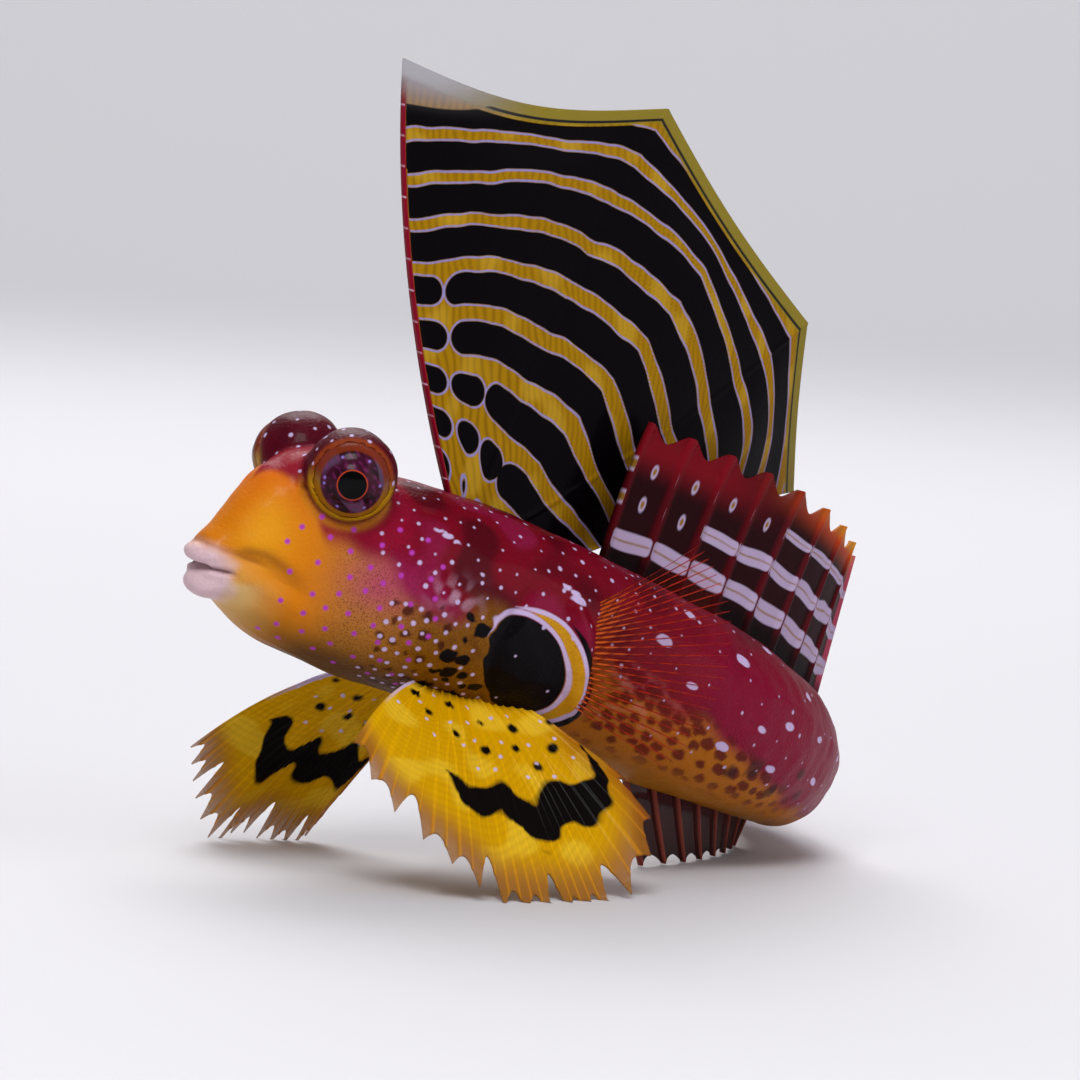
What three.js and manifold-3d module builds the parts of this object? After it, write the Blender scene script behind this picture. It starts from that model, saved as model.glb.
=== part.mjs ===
// A ruby red dragonet (Synchiropus sycorax), an adult male at life size, perched on its
// pelvic fins with the sail of its first dorsal fin spread and its tail curved to its right.
// Millimetres, +Z up. The fish faces -X, its left side faces -Y, and it stands on Z = 0.
//
// A station is a distance in millimetres along the spine line from the snout. A girth angle
// goes round a cross-section: 0 is the back, 90 the left side, 180 the belly, -90 the right.
import * as THREE from "three";
import { mergeVertices } from "three/addons/utils/BufferGeometryUtils.js";
import Module from "manifold-3d";

const wasm = await Module();
wasm.setup();

// Driving dimensions
const BODY_LENGTH = 40; // snout to the root of the tail fin, along the spine line
const SEAM = 0.3; // clear gap between a fin or an eye and what it sits in
const BODY_SEAM = 0.38; // the same between two lengths of the body, which curves across it
const SOCKET_SPARE = 0.04; // added round an eye, whose facets and socket's facets don't line up
const FIN_SKIN = 0.27; // half the thickness of a fin's membrane
const RAY_RIDGE = 0.11; // how far a ray stands out of each face of its membrane
const ROOT_DEPTH = 1.3; // how far a ray goes on into the body before the body is cut away from it
const PERCH_STATION = 10.3; // the station straight above the frame's first origin
const PERCH_HEIGHT = 9.7; // height of the spine line there
const BODY_START = 0.6; // the station of the snout's blunt front
const FIN_THINNING = 0.45; // how much of its thickness a fin has lost at the margin
const OVERCUT = 1; // how far a cut runs on past what it cuts
const WELD = 1e-4; // points of a shape nearer together than this are one

// How finely the shapes are faceted
const FACETS = { body: 30, wholeBody: 36, orbit: 22, eye: 18, lip: 20, lobe: 16, nostril: 10 };
const RINGS = { head: 16, torso: 10, trunk: 12, tail: 9, wholeBody: 64 };

// Seams between the lengths of the body
const NECK_SEAM = 8.6;
const WAIST_SEAM = 19;
const PEDUNCLE_SEAM = 31;

// How the spine line bends: [station, degrees]
const BEND_TO_RIGHT = [[0, 0], [15, 0], [20, 9], [26, 32], [33, 60], [40, 72]];
const SLOPE_DOWN = [[0, 4], [8, 7], [12, 17], [20, 19], [26, 18], [33, 13], [40, 6]];
const LEAN_TO_LEFT = [[0, 5], [14, 3], [20, 6], [26, 17], [31, 27], [40, 38]];

// Cross-sections of the body: [station, millimetres]
const BACK = [
  [0, 0.6], [1, 1.75], [1.5, 2.55], [2, 3.28], [2.4, 3.78], [3.2, 4.08], [4.5, 4.15], [6.5, 4.05],
  [10.3, 3.75], [17, 3.5], [24, 3.1], [31, 2.3], [36, 1.6], [40, 1.45],
];
const BELLY = [
  [0, 0.5], [1.1, 1], [1.7, 1.5], [3, 2.3], [5, 2.95], [8, 3.55], [12, 3.8], [18, 3.65], [24, 3.2], [31, 2.35],
  [36, 1.6], [40, 1.4],
];
const BREADTH = [
  [0, 0.7], [1, 1.15], [2.5, 1.9], [4, 2.6], [6, 3.3], [8, 3.8], [11, 4.05], [15, 3.85], [19, 3.55], [25, 3],
  [31, 2.2], [36, 1.4], [40, 0.9],
];
const ROUNDNESS = 0.92; // 1 is an ellipse, less is squarer

// Head
const EYE = { station: 4.8, aside: 2, height: 4, radius: 1.15, outward: 0.42, forward: 25, upward: -7 };
const ORBIT_RADIUS = 1.65;
const UPPER_LIP = { station: 0.95, height: 0.42, along: 1, aside: 1.12, thick: 0.48 };
const LOWER_LIP = { station: 1.1, height: -0.6, along: 1, aside: 1.05, thick: 0.56 };
const MOUTH_SLIT = { station: 0, height: -0.08, depth: 1.4, breadth: 6, gape: 0.2 };
const NOSTRIL = { station: 3.4, girth: 38, radius: 0.26, wall: 0.14, rise: 0.14, depth: 0.45 };

const radians = THREE.MathUtils.degToRad;
const lerp = THREE.MathUtils.lerp;

// A smooth curve through [station, value] pairs, held level past both ends.
function through(pairs) {
  const slopeAt = (i) => {
    const [x0, y0] = pairs[Math.max(i - 1, 0)];
    const [x1, y1] = pairs[Math.min(i + 1, pairs.length - 1)];
    return (y1 - y0) / (x1 - x0);
  };
  return (x) => {
    if (x <= pairs[0][0]) return pairs[0][1];
    if (x >= pairs.at(-1)[0]) return pairs.at(-1)[1];
    const i = pairs.findIndex(([station]) => station > x) - 1;
    const [x0, y0] = pairs[i];
    const [x1, y1] = pairs[i + 1];
    const width = x1 - x0;
    const t = (x - x0) / width;
    return (
      y0 * (1 + 2 * t) * (1 - t) ** 2 +
      slopeAt(i) * width * t * (1 - t) ** 2 +
      y1 * t * t * (3 - 2 * t) +
      slopeAt(i + 1) * width * t * t * (t - 1)
    );
  };
}

const bend = through(BEND_TO_RIGHT);
const slope = through(SLOPE_DOWN);
const lean = through(LEAN_TO_LEFT);
const back = through(BACK);
const belly = through(BELLY);
const breadth = through(BREADTH);

// The spine line, walked in short steps from the snout.
const STEP = 0.1;
const tailward = (s) => {
  const down = radians(slope(s));
  const right = radians(bend(s));
  const level = Math.cos(down);
  return new THREE.Vector3(level * Math.cos(right), level * Math.sin(right), -Math.sin(down));
};
const spine = [new THREE.Vector3()];
for (let s = 0; s < BODY_LENGTH + 1; s += STEP) {
  spine.push(spine.at(-1).clone().addScaledVector(tailward(s + STEP / 2), STEP));
}
const onSpine = (s) => {
  const i = Math.min(Math.max(Math.floor(s / STEP), 0), spine.length - 2);
  return spine[i].clone().lerp(spine[i + 1], s / STEP - i);
};
const shift = new THREE.Vector3(0, 0, PERCH_HEIGHT).sub(onSpine(PERCH_STATION));
spine.forEach((point) => point.add(shift));

// The body's own directions at a station: towards the tail, the left side and the back.
function directions(s) {
  const tail = tailward(s);
  const right = radians(bend(s));
  const level = new THREE.Vector3(Math.sin(right), -Math.cos(right), 0);
  const upright = level.clone().cross(tail);
  const roll = radians(lean(s));
  const up = upright.clone().multiplyScalar(Math.cos(roll)).addScaledVector(level, Math.sin(roll));
  const left = level.clone().multiplyScalar(Math.cos(roll)).addScaledVector(upright, -Math.sin(roll));
  return { tail, left, up };
}

// A point by station, distance to the left and height above the spine line.
function place(s, aside, height) {
  const { left, up } = directions(s);
  return onSpine(s).addScaledVector(left, aside).addScaledVector(up, height);
}

// A point on the body's surface, or further out by grow.
function skin(s, girth, grow = 0) {
  const a = radians(girth);
  const soften = (x) => Math.sign(x) * Math.abs(x) ** ROUNDNESS;
  const high = Math.cos(a) > 0 ? back(s) : belly(s);
  return place(s, (breadth(s) + grow) * soften(Math.sin(a)), (high + grow) * soften(Math.cos(a)));
}

// Solids
function solid(positions, triangles) {
  const vertProperties = new Float32Array(positions);
  const triVerts = new Uint32Array(triangles);
  return new wasm.Manifold(new wasm.Mesh({ numProp: 3, vertProperties, triVerts }));
}

function solidOf(geometry) {
  const bare = geometry.clone();
  bare.deleteAttribute("normal");
  bare.deleteAttribute("uv");
  const merged = mergeVertices(bare, WELD);
  return solid(merged.attributes.position.array, merged.index.array);
}

const largest = (shape) => shape.decompose().reduce((a, b) => (a.volume() > b.volume() ? a : b));

// An ellipsoid whose three radii lie along the body's tail, left and up directions at a station.
function ellipsoid(s, centre, along, aside, high, around) {
  const { tail, left, up } = directions(s);
  const turn = new THREE.Matrix4().makeBasis(tail, up, left);
  const shape = new THREE.SphereGeometry(1, around, around / 2);
  shape.scale(along, high, aside);
  return solidOf(shape.applyMatrix4(turn.setPosition(centre)));
}

// A closed length of the body between two stations.
function bodyLength(from, to, rings, around, grow = 0) {
  const positions = [];
  const triangles = [];
  for (let i = 0; i <= rings; i++) {
    const s = lerp(from, to, i / rings);
    for (let j = 0; j < around; j++) positions.push(...skin(s, (360 * j) / around, grow));
  }
  const front = positions.length / 3;
  positions.push(...onSpine(from), ...onSpine(to));
  for (let j = 0; j < around; j++) {
    const k = (j + 1) % around;
    triangles.push(front, k, j, front + 1, rings * around + j, rings * around + k);
    for (let i = 0; i < rings; i++) {
      const row = i * around;
      triangles.push(row + j, row + around + k, row + around + j, row + j, row + k, row + around + k);
    }
  }
  return solid(positions, triangles);
}

// A fin: rays in order, each { root, middle, tip }, joined by a membrane with a ridge along
// each ray. steps is the number of facets along a ray, cuts the places of the membrane's columns
// from one ray to the next, and notch how far the margin falls back between those two rays.
function fan(rays, { steps, cuts, notch }) {
  const columns = [];
  for (let i = 0; i < rays.length - 1; i++) cuts.forEach((f) => columns.push([i, f]));
  columns.push([rays.length - 1, 0]);

  const surface = ([i, f], v) => {
    const mixed = (key) => rays[i][key].clone().lerp(rays[Math.min(i + 1, rays.length - 1)][key], f);
    const t = f ? v * (1 - notch(i) * Math.sin(Math.PI * f)) : v;
    return mixed("root")
      .multiplyScalar((1 - t) ** 2)
      .addScaledVector(mixed("middle"), 2 * t * (1 - t))
      .addScaledVector(mixed("tip"), t * t);
  };
  const heights = Array.from({ length: steps + 1 }, (_, j) => j / steps);
  const grid = columns.map((column) => heights.map((v) => surface(column, v)));
  const normalAt = (i, j) => {
    const across = grid[Math.min(i + 1, grid.length - 1)][j].clone().sub(grid[Math.max(i - 1, 0)][j]);
    const outward = grid[i][Math.min(j + 1, steps)].clone().sub(grid[i][Math.max(j - 1, 0)]);
    return across.cross(outward).normalize();
  };

  const positions = [];
  for (const side of [1, -1]) {
    grid.forEach((line, i) =>
      line.forEach((point, j) => {
        const full = FIN_SKIN + (columns[i][1] === 0 ? RAY_RIDGE : 0);
        const half = full * (1 - FIN_THINNING * (j / steps) ** 2);
        positions.push(...point.clone().addScaledVector(normalAt(i, j), side * half));
      }),
    );
  }
  const row = steps + 1;
  const sheet = grid.length * row;
  const triangles = [];
  for (let i = 0; i < grid.length - 1; i++) {
    for (let j = 0; j < steps; j++) {
      const [a, b, c, d] = [i * row + j, (i + 1) * row + j, (i + 1) * row + j + 1, i * row + j + 1];
      triangles.push(a, b, c, a, c, d);
      triangles.push(sheet + a, sheet + c, sheet + b, sheet + a, sheet + d, sheet + c);
    }
  }
  const rim = [];
  for (let i = 0; i < grid.length; i++) rim.push(i * row);
  for (let j = 1; j <= steps; j++) rim.push((grid.length - 1) * row + j);
  for (let i = grid.length - 2; i >= 0; i--) rim.push(i * row + steps);
  for (let j = steps - 1; j > 0; j--) rim.push(j);
  rim.forEach((a, k) => {
    const b = rim[(k + 1) % rim.length];
    triangles.push(b, a, sheet + a, b, sheet + a, sheet + b);
  });
  return solid(positions, triangles);
}

// A ray that leaves the body at a station and girth, by its length and its direction there:
// back is the lean from upward (or downward, for up -1) towards the tail, aside to the left.
function ray({ station, girth = 0, length, back: backward, aside = 0, up: sign = 1, bow = 0, bowAside = 0 }) {
  const { tail, left, up } = directions(station);
  const leaves = skin(station, girth);
  const towards = (b, a) =>
    new THREE.Vector3()
      .addScaledVector(tail, Math.sin(radians(b)) * Math.cos(radians(a)))
      .addScaledVector(up, sign * Math.cos(radians(b)) * Math.cos(radians(a)))
      .addScaledVector(left, Math.sin(radians(a)));
  const tip = leaves.clone().addScaledVector(towards(backward, aside), length);
  const middle = leaves.clone().addScaledVector(towards(backward - bow, aside + bowAside), length / 2);
  const root = leaves.clone().addScaledVector(towards(backward - bow, aside + bowAside), -ROOT_DEPTH);
  return { root, middle, tip };
}

const between = (pair, t) => lerp(pair[0], pair[1], t);

// Fins are rooted inside the body, then cut clear of it and of the floor.
const wholeBody = bodyLength(BODY_START, BODY_LENGTH, RINGS.wholeBody, FACETS.wholeBody, SEAM);
const FLOOR_WIDTH = 200;
const FLOOR_DEPTH = 20;
const floorBox = new THREE.BoxGeometry(FLOOR_WIDTH, FLOOR_WIDTH, FLOOR_DEPTH);
const floor = solidOf(floorBox.translate(0, 0, -FLOOR_DEPTH / 2));
const cutClear = (fin) => largest(fin.subtract(wholeBody).subtract(floor));

// Head: the front of the body with two orbits, the lips and two nostrils
function eyeCentres(side) {
  const { tail, left, up } = directions(EYE.station);
  const orbit = place(EYE.station, side * EYE.aside, EYE.height);
  const gaze = new THREE.Vector3()
    .addScaledVector(left, side * Math.cos(radians(EYE.forward)))
    .addScaledVector(tail, -Math.sin(radians(EYE.forward)))
    .addScaledVector(up, Math.sin(radians(EYE.upward)))
    .normalize();
  return { orbit, ball: orbit.clone().addScaledVector(gaze, EYE.outward) };
}

function lip({ station, height, along, aside, thick }) {
  return ellipsoid(station, place(station, 0, height), along, aside, thick, FACETS.lip);
}

function nostril(side) {
  const root = skin(NOSTRIL.station, side * NOSTRIL.girth);
  const outward = skin(NOSTRIL.station, side * NOSTRIL.girth, 1).sub(root).normalize();
  const turn = new THREE.Quaternion().setFromUnitVectors(new THREE.Vector3(0, 1, 0), outward);
  const tube = (radius, low, high) => {
    const shape = new THREE.CylinderGeometry(radius, radius, high - low, FACETS.nostril);
    shape.applyQuaternion(turn);
    const middle = root.clone().addScaledVector(outward, (low + high) / 2);
    return solidOf(shape.translate(middle.x, middle.y, middle.z));
  };
  const { radius, wall, rise, depth } = NOSTRIL;
  return { rim: tube(radius, -depth, rise), hole: tube(radius - wall, -depth / 2, rise + OVERCUT) };
}

function makeHead() {
  const ball = (centre, radius) => ellipsoid(EYE.station, centre, radius, radius, radius, FACETS.orbit);
  let head = bodyLength(BODY_START, NECK_SEAM - BODY_SEAM / 2, RINGS.head, FACETS.body);
  for (const shape of [lip(UPPER_LIP), lip(LOWER_LIP)]) head = head.add(shape);
  for (const side of [1, -1]) {
    head = head.add(ball(eyeCentres(side).orbit, ORBIT_RADIUS));
    head = head.add(nostril(side).rim);
  }
  for (const side of [1, -1]) {
    head = head.subtract(ball(eyeCentres(side).ball, EYE.radius + SEAM + SOCKET_SPARE));
    head = head.subtract(nostril(side).hole);
  }
  const slit = new THREE.BoxGeometry(MOUTH_SLIT.depth * 2, MOUTH_SLIT.breadth, MOUTH_SLIT.gape);
  slit.rotateY(radians(slope(MOUTH_SLIT.station)));
  const front = place(MOUTH_SLIT.station, 0, MOUTH_SLIT.height);
  return largest(head.subtract(solidOf(slit.translate(front.x, front.y, front.z))));
}

const makeEye = (side) =>
  ellipsoid(EYE.station, eyeCentres(side).ball, EYE.radius, EYE.radius, EYE.radius, FACETS.eye);

// First dorsal fin: four long spines that carry the sail
const SAIL_SPINES = [
  { station: 9.45, girth: 0, length: 15.7, back: -23, aside: 1, bow: 10 },
  { station: 10.55, girth: 0, length: 15.9, back: 11, aside: -3, bow: 7 },
  { station: 12.4, girth: -4, length: 15.2, back: 43, aside: -12, bow: -6 },
  { station: 15.7, girth: -20, length: 13.5, back: 62, aside: -24, bow: 4 },
];
const SAIL_NOTCH = [0.05, 0.025, 0.03];
const SAIL_SHEET = { steps: 12, cuts: [0, 0.08, 0.3, 0.5, 0.7, 0.92], notch: (i) => SAIL_NOTCH[i] };

const makeSail = () => cutClear(fan(SAIL_SPINES.map(ray), SAIL_SHEET));

// Soft fins on the midline: rays evenly spaced from one station to another
const SECOND_DORSAL = {
  rays: 9, from: 15.8, to: 30.2, girth: 0, up: 1, length: [5.2, 6.6], back: [-3, 18], aside: [2, -18], bow: 6,
};
const ANAL = {
  rays: 8, from: 20.5, to: 31, girth: 180, up: -1, length: [5.9, 5.9], back: [44, 60], aside: [0, 0], bow: 8,
};
const SOFT_SHEET = { steps: 7, cuts: [0, 0.33, 0.67], notch: () => 0.1 };

function makeMidlineFin({ rays: count, from, to, girth, up, length, back: lay, aside, bow }) {
  const rays = Array.from({ length: count }, (_, i) => {
    const t = i / (count - 1);
    return ray({
      station: lerp(from, to, t),
      girth,
      length: between(length, t),
      back: between(lay, t),
      aside: between(aside, t),
      up,
      bow,
    });
  });
  return cutClear(fan(rays, SOFT_SHEET));
}

// Tail fin: a half-closed fan that goes on with the body's curve
const TAIL_FIN = { rays: 10, length: 10.6, spread: 15, curl: 6, rootHalf: 1.05, roundness: 0.14 };
const TAIL_SHEET = { steps: 8, cuts: [0, 0.33, 0.67], notch: () => 0.04 };

function makeTailFin() {
  const s = BODY_LENGTH + SEAM;
  const { tail, left, up } = directions(s);
  const rays = Array.from({ length: TAIL_FIN.rays }, (_, i) => {
    const t = 1 - (2 * i) / (TAIL_FIN.rays - 1);
    const root = place(s, 0, t * TAIL_FIN.rootHalf);
    const length = TAIL_FIN.length * (1 - TAIL_FIN.roundness * t * t);
    const fanned = radians(TAIL_FIN.spread * t);
    const straight = tail.clone().multiplyScalar(Math.cos(fanned)).addScaledVector(up, Math.sin(fanned));
    const curled = straight.clone().addScaledVector(left, -Math.tan(radians(TAIL_FIN.curl))).normalize();
    return {
      root,
      middle: root.clone().addScaledVector(straight, length / 2),
      tip: root.clone().addScaledVector(curled, length),
    };
  });
  return largest(fan(rays, TAIL_SHEET).subtract(floor));
}

// Pectoral fins: a fleshy upright lobe on the flank and a fan of fine rays behind it
const PECTORAL = {
  station: 14.3,
  rays: 14,
  girth: [64, 118],
  root: 0.2,
  length: [[0, 4.5], [0.5, 5.6], [1, 4.9]],
  raise: [54, -12],
  flare: { left: 14, right: 48 },
  bow: 8,
};
const PECTORAL_SHEET = { steps: 7, cuts: [0, 0.5], notch: () => 0.08 };
const PECTORAL_LOBE = { station: 14.2, girth: 90, along: 0.55, outward: 0.75, high: 1.9 };

function makePectoral(side) {
  const flare = side > 0 ? PECTORAL.flare.left : PECTORAL.flare.right;
  const { tail, left, up } = directions(PECTORAL.station);
  const lengthAt = through(PECTORAL.length);
  const rays = Array.from({ length: PECTORAL.rays }, (_, i) => {
    const t = i / (PECTORAL.rays - 1);
    const root = skin(PECTORAL.station, side * between(PECTORAL.girth, t), -PECTORAL.root);
    const towards = (raise, out) =>
      new THREE.Vector3()
        .addScaledVector(tail, Math.cos(radians(raise)) * Math.cos(radians(out)))
        .addScaledVector(up, Math.sin(radians(raise)) * Math.cos(radians(out)))
        .addScaledVector(left, side * Math.sin(radians(out)));
    const raise = between(PECTORAL.raise, t);
    return {
      root,
      middle: root.clone().addScaledVector(towards(raise, flare + PECTORAL.bow), lengthAt(t) / 2),
      tip: root.clone().addScaledVector(towards(raise, flare), lengthAt(t)),
    };
  });
  const lobe = ellipsoid(
    PECTORAL_LOBE.station,
    skin(PECTORAL_LOBE.station, side * PECTORAL_LOBE.girth),
    PECTORAL_LOBE.along,
    PECTORAL_LOBE.outward,
    PECTORAL_LOBE.high,
    FACETS.lobe,
  );
  return cutClear(fan(rays, PECTORAL_SHEET).add(lobe));
}

// Pelvic fins: broad fans under the throat that the fish perches on. Heading goes round from
// straight ahead at 0 to straight back at 180; height is the tip's above the floor.
const PELVIC_ROOT = { station: [9.7, 13], girth: [152, 139] };
const PELVIC_HUB_ASIDE = 2.9;
const PELVIC_RAYS = 16;
const PELVIC_LEFT = {
  heading: [22, 156],
  reach: [[0, 6.5], [0.15, 6.9], [0.45, 6], [0.7, 6], [0.9, 6.8], [1, 5.6]],
  height: [[0, 5.4], [0.12, 3.4], [0.3, 1.2], [0.42, 0], [0.76, 0], [0.88, 2], [1, 4.2]],
};
const PELVIC_RIGHT = {
  heading: [30, 92],
  reach: [[0, 7.2], [0.3, 7], [0.7, 5.6], [1, 4.6]],
  height: [[0, 3.8], [0.2, 1.8], [0.35, 0.2], [0.5, 0.5], [0.65, 0.1], [0.8, 0], [1, 1.6]],
};
const PELVIC_ARCH = [[0, 1.3], [0.7, 1.3], [1, 0.3]]; // how far a ray's middle stands above a straight line
const PELVIC_DEPTH = 0.5; // how deep the rays are rooted
const PELVIC_FLAT = 0.25; // how much the floor takes off a ray that it carries
const PELVIC_NOTCH = [0.07, 0.07, 0.15];
const PELVIC_SHEET = { steps: 8, cuts: [0, 0.5], notch: (i) => PELVIC_NOTCH[i % PELVIC_NOTCH.length] };

function makePelvic(side) {
  const shape = side > 0 ? PELVIC_LEFT : PELVIC_RIGHT;
  const reach = through(shape.reach);
  const height = through(shape.height);
  const arch = through(PELVIC_ARCH);
  const rays = Array.from({ length: PELVIC_RAYS }, (_, i) => {
    const t = i / (PELVIC_RAYS - 1);
    const s = between(PELVIC_ROOT.station, t);
    const root = skin(s, side * between(PELVIC_ROOT.girth, t), -PELVIC_DEPTH);
    const heading = radians(between(shape.heading, t));
    const tip = new THREE.Vector3(
      -reach(t) * Math.cos(heading),
      -side * (PELVIC_HUB_ASIDE + reach(t) * Math.sin(heading)),
      height(t) - PELVIC_FLAT,
    );
    const middle = root.clone().lerp(tip, 0.5);
    middle.z += arch(t);
    return { root, middle, tip };
  });
  return cutClear(fan(rays, PELVIC_SHEET));
}

// Colours and finishes
const finish = (color, roughness) => new THREE.MeshStandardMaterial({ color, roughness, metalness: 0 });
const ruby = finish("#9c0f2e", 0.35);
const amberFace = finish("#c2731c", 0.38);
const eyeDark = finish("#1b0d14", 0.08);
const sailYellow = finish("#b8901c", 0.45);
const duskRed = finish("#5a1420", 0.45);
const finYellow = finish("#d8a315", 0.45);
const finOrange = finish("#b8502a", 0.45);
const finDusk = finish("#4a2f2c", 0.5);
const tailPink = finish("#b8476c", 0.45);

const bodyPiece = (from, to, rings) =>
  bodyLength(from + BODY_SEAM / 2, to - BODY_SEAM / 2, rings, FACETS.body);
const pieces = {
  head: [makeHead(), amberFace],
  eye_left: [makeEye(1), eyeDark],
  eye_right: [makeEye(-1), eyeDark],
  torso: [bodyPiece(NECK_SEAM, WAIST_SEAM, RINGS.torso), ruby],
  trunk: [bodyPiece(WAIST_SEAM, PEDUNCLE_SEAM, RINGS.trunk), ruby],
  tail: [bodyPiece(PEDUNCLE_SEAM, BODY_LENGTH + BODY_SEAM / 2, RINGS.tail), ruby],
  dorsal_fin_first: [makeSail(), sailYellow],
  dorsal_fin_second: [makeMidlineFin(SECOND_DORSAL), duskRed],
  anal_fin: [makeMidlineFin(ANAL), finDusk],
  tail_fin: [makeTailFin(), tailPink],
  pectoral_fin_left: [makePectoral(1), finOrange],
  pectoral_fin_right: [makePectoral(-1), finOrange],
  pelvic_fin_left: [makePelvic(1), finYellow],
  pelvic_fin_right: [makePelvic(-1), finYellow],
};

const fish = new THREE.Group();
for (const [name, [shape, material]] of Object.entries(pieces)) {
  const { vertProperties, triVerts } = shape.getMesh();
  const geometry = new THREE.BufferGeometry();
  geometry.setAttribute("position", new THREE.BufferAttribute(vertProperties, 3));
  geometry.setIndex(new THREE.BufferAttribute(triVerts, 1));
  geometry.computeVertexNormals();
  const mesh = new THREE.Mesh(geometry, material);
  mesh.name = name;
  fish.add(mesh);
}

// The finished frame's origin is under the middle of the fish, on the floor.
const middle = new THREE.Box3().setFromObject(fish).getCenter(new THREE.Vector3());
fish.position.set(-middle.x, -middle.y, 0);

export default fish;
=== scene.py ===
"""Looks of a ruby red dragonet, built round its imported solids.

The fish is shaped in millimetres about its spine line, which runs from the snout to the
root of the tail fin. Each piece is then moved to the solids' frame, in metres. The fish
faces -X and its left side faces -Y. A station is a distance along the spine line, and a
girth angle goes round a cross-section: 0 is the back, 90 the left side, 180 the belly.
"""
import math
from types import SimpleNamespace

import bmesh
import bpy
import numpy as np
from mathutils import Matrix, Vector


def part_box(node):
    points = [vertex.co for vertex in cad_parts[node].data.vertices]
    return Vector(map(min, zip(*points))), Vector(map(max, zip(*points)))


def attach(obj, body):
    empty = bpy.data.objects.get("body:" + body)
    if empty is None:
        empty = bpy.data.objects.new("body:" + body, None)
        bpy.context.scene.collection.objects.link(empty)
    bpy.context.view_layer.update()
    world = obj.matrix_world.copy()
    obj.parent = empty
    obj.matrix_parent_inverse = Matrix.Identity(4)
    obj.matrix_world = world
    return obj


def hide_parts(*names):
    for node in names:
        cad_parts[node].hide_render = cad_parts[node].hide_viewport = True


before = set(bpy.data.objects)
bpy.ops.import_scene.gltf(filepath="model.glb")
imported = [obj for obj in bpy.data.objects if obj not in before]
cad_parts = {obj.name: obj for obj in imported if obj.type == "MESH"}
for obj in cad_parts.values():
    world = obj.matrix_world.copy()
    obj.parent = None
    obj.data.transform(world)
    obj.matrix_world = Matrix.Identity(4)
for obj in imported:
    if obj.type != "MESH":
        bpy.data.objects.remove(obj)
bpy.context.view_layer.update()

# Body, the same curves as the solids'
BODY_LENGTH = 40
PERCH_STATION = 10.3
PERCH_HEIGHT = 9.7
STEP = 0.1
SIDES = (1, -1)  # left and right
BATCH = 20000  # points measured at a time
BEND_TO_RIGHT = [[0, 0], [15, 0], [20, 9], [26, 32], [33, 60], [40, 72]]
SLOPE_DOWN = [[0, 4], [8, 7], [12, 17], [20, 19], [26, 18], [33, 13], [40, 6]]
LEAN_TO_LEFT = [[0, 5], [14, 3], [20, 6], [26, 17], [31, 27], [40, 38]]
BACK = [
    [0, 0.6], [1, 1.75], [1.5, 2.55], [2, 3.28], [2.4, 3.78], [3.2, 4.08], [4.5, 4.15], [6.5, 4.05],
    [10.3, 3.75], [17, 3.5], [24, 3.1], [31, 2.3], [36, 1.6], [40, 1.45],
]
BELLY = [
    [0, 0.5], [1.1, 1], [1.7, 1.5], [3, 2.3], [5, 2.95], [8, 3.55], [12, 3.8], [18, 3.65], [24, 3.2],
    [31, 2.35], [36, 1.6], [40, 1.4],
]
BREADTH = [
    [0, 0.7], [1, 1.15], [2.5, 1.9], [4, 2.6], [6, 3.3], [8, 3.8], [11, 4.05], [15, 3.85], [19, 3.55], [25, 3],
    [31, 2.2], [36, 1.4], [40, 0.9],
]
ROUNDNESS = 0.92
EYE = {
    "station": 4.8, "aside": 2.0, "height": 4.0, "radius": 1.42, "outward": 0.42, "forward": 25, "upward": -7,
}
ORBIT_RADIUS = 1.65
SOCKET_RADIUS = 1.41
UPPER_LIP = {"station": 0.95, "height": 0.42, "along": 1.0, "aside": 1.12, "thick": 0.48}
LOWER_LIP = {"station": 1.1, "height": -0.6, "along": 1.0, "aside": 1.05, "thick": 0.56}
NOSTRIL = {"station": 3.4, "girth": 38, "radius": 0.24}

# Camera, as the photograph's: degrees, millimetres, and pixels of its 1080-wide frame
FRAME_PIXELS = 1080
CAMERA = {"yaw": 30, "elevation": 4, "roll": 4, "distance": 260, "pixels_per_mm": 28}
ANCHOR = (0, 0, PERCH_HEIGHT)
ANCHOR_PIXEL = (440, 600)


def rgb(code):
    """A colour code as linear light."""
    channels = np.array([int(code[i : i + 2], 16) for i in (1, 3, 5)]) / 255
    return np.where(channels <= 0.04045, channels / 12.92, ((channels + 0.055) / 1.055) ** 2.4)


def smooth(low, high, x):
    t = np.clip((x - low) / (high - low), 0, 1)
    return t * t * (3 - 2 * t)


def tint(paint, colour, amount):
    """paint moved towards a colour by an amount from 0 to 1."""
    a = np.asarray(amount)[..., None]
    return paint * (1 - a) + colour * a


def layered(paint, marks):
    """paint under a list of colour codes, each with its amount."""
    for code, amount in marks:
        paint = tint(paint, rgb(code), amount)
    return paint


def hump(offset, width):
    """1 in the middle, falling off to both sides."""
    return np.exp(-((offset / width) ** 2))


def length(vectors):
    return np.linalg.norm(vectors, axis=-1)


def unit(vectors):
    return vectors / np.maximum(length(vectors)[..., None], 1e-9)


def waves(points, size, seed):
    """Smooth noise from -1 to 1, with features about size millimetres across."""
    source = np.random.default_rng(seed)
    total = np.zeros(points.shape[:-1])
    for _ in range(7):
        direction = source.normal(size=points.shape[-1])
        direction *= source.uniform(0.7, 1.5) * math.pi / size / np.linalg.norm(direction)
        total += np.sin(points @ direction + source.uniform(0, 2 * math.pi))
    return np.clip(total / 3.2, -1, 1)


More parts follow.
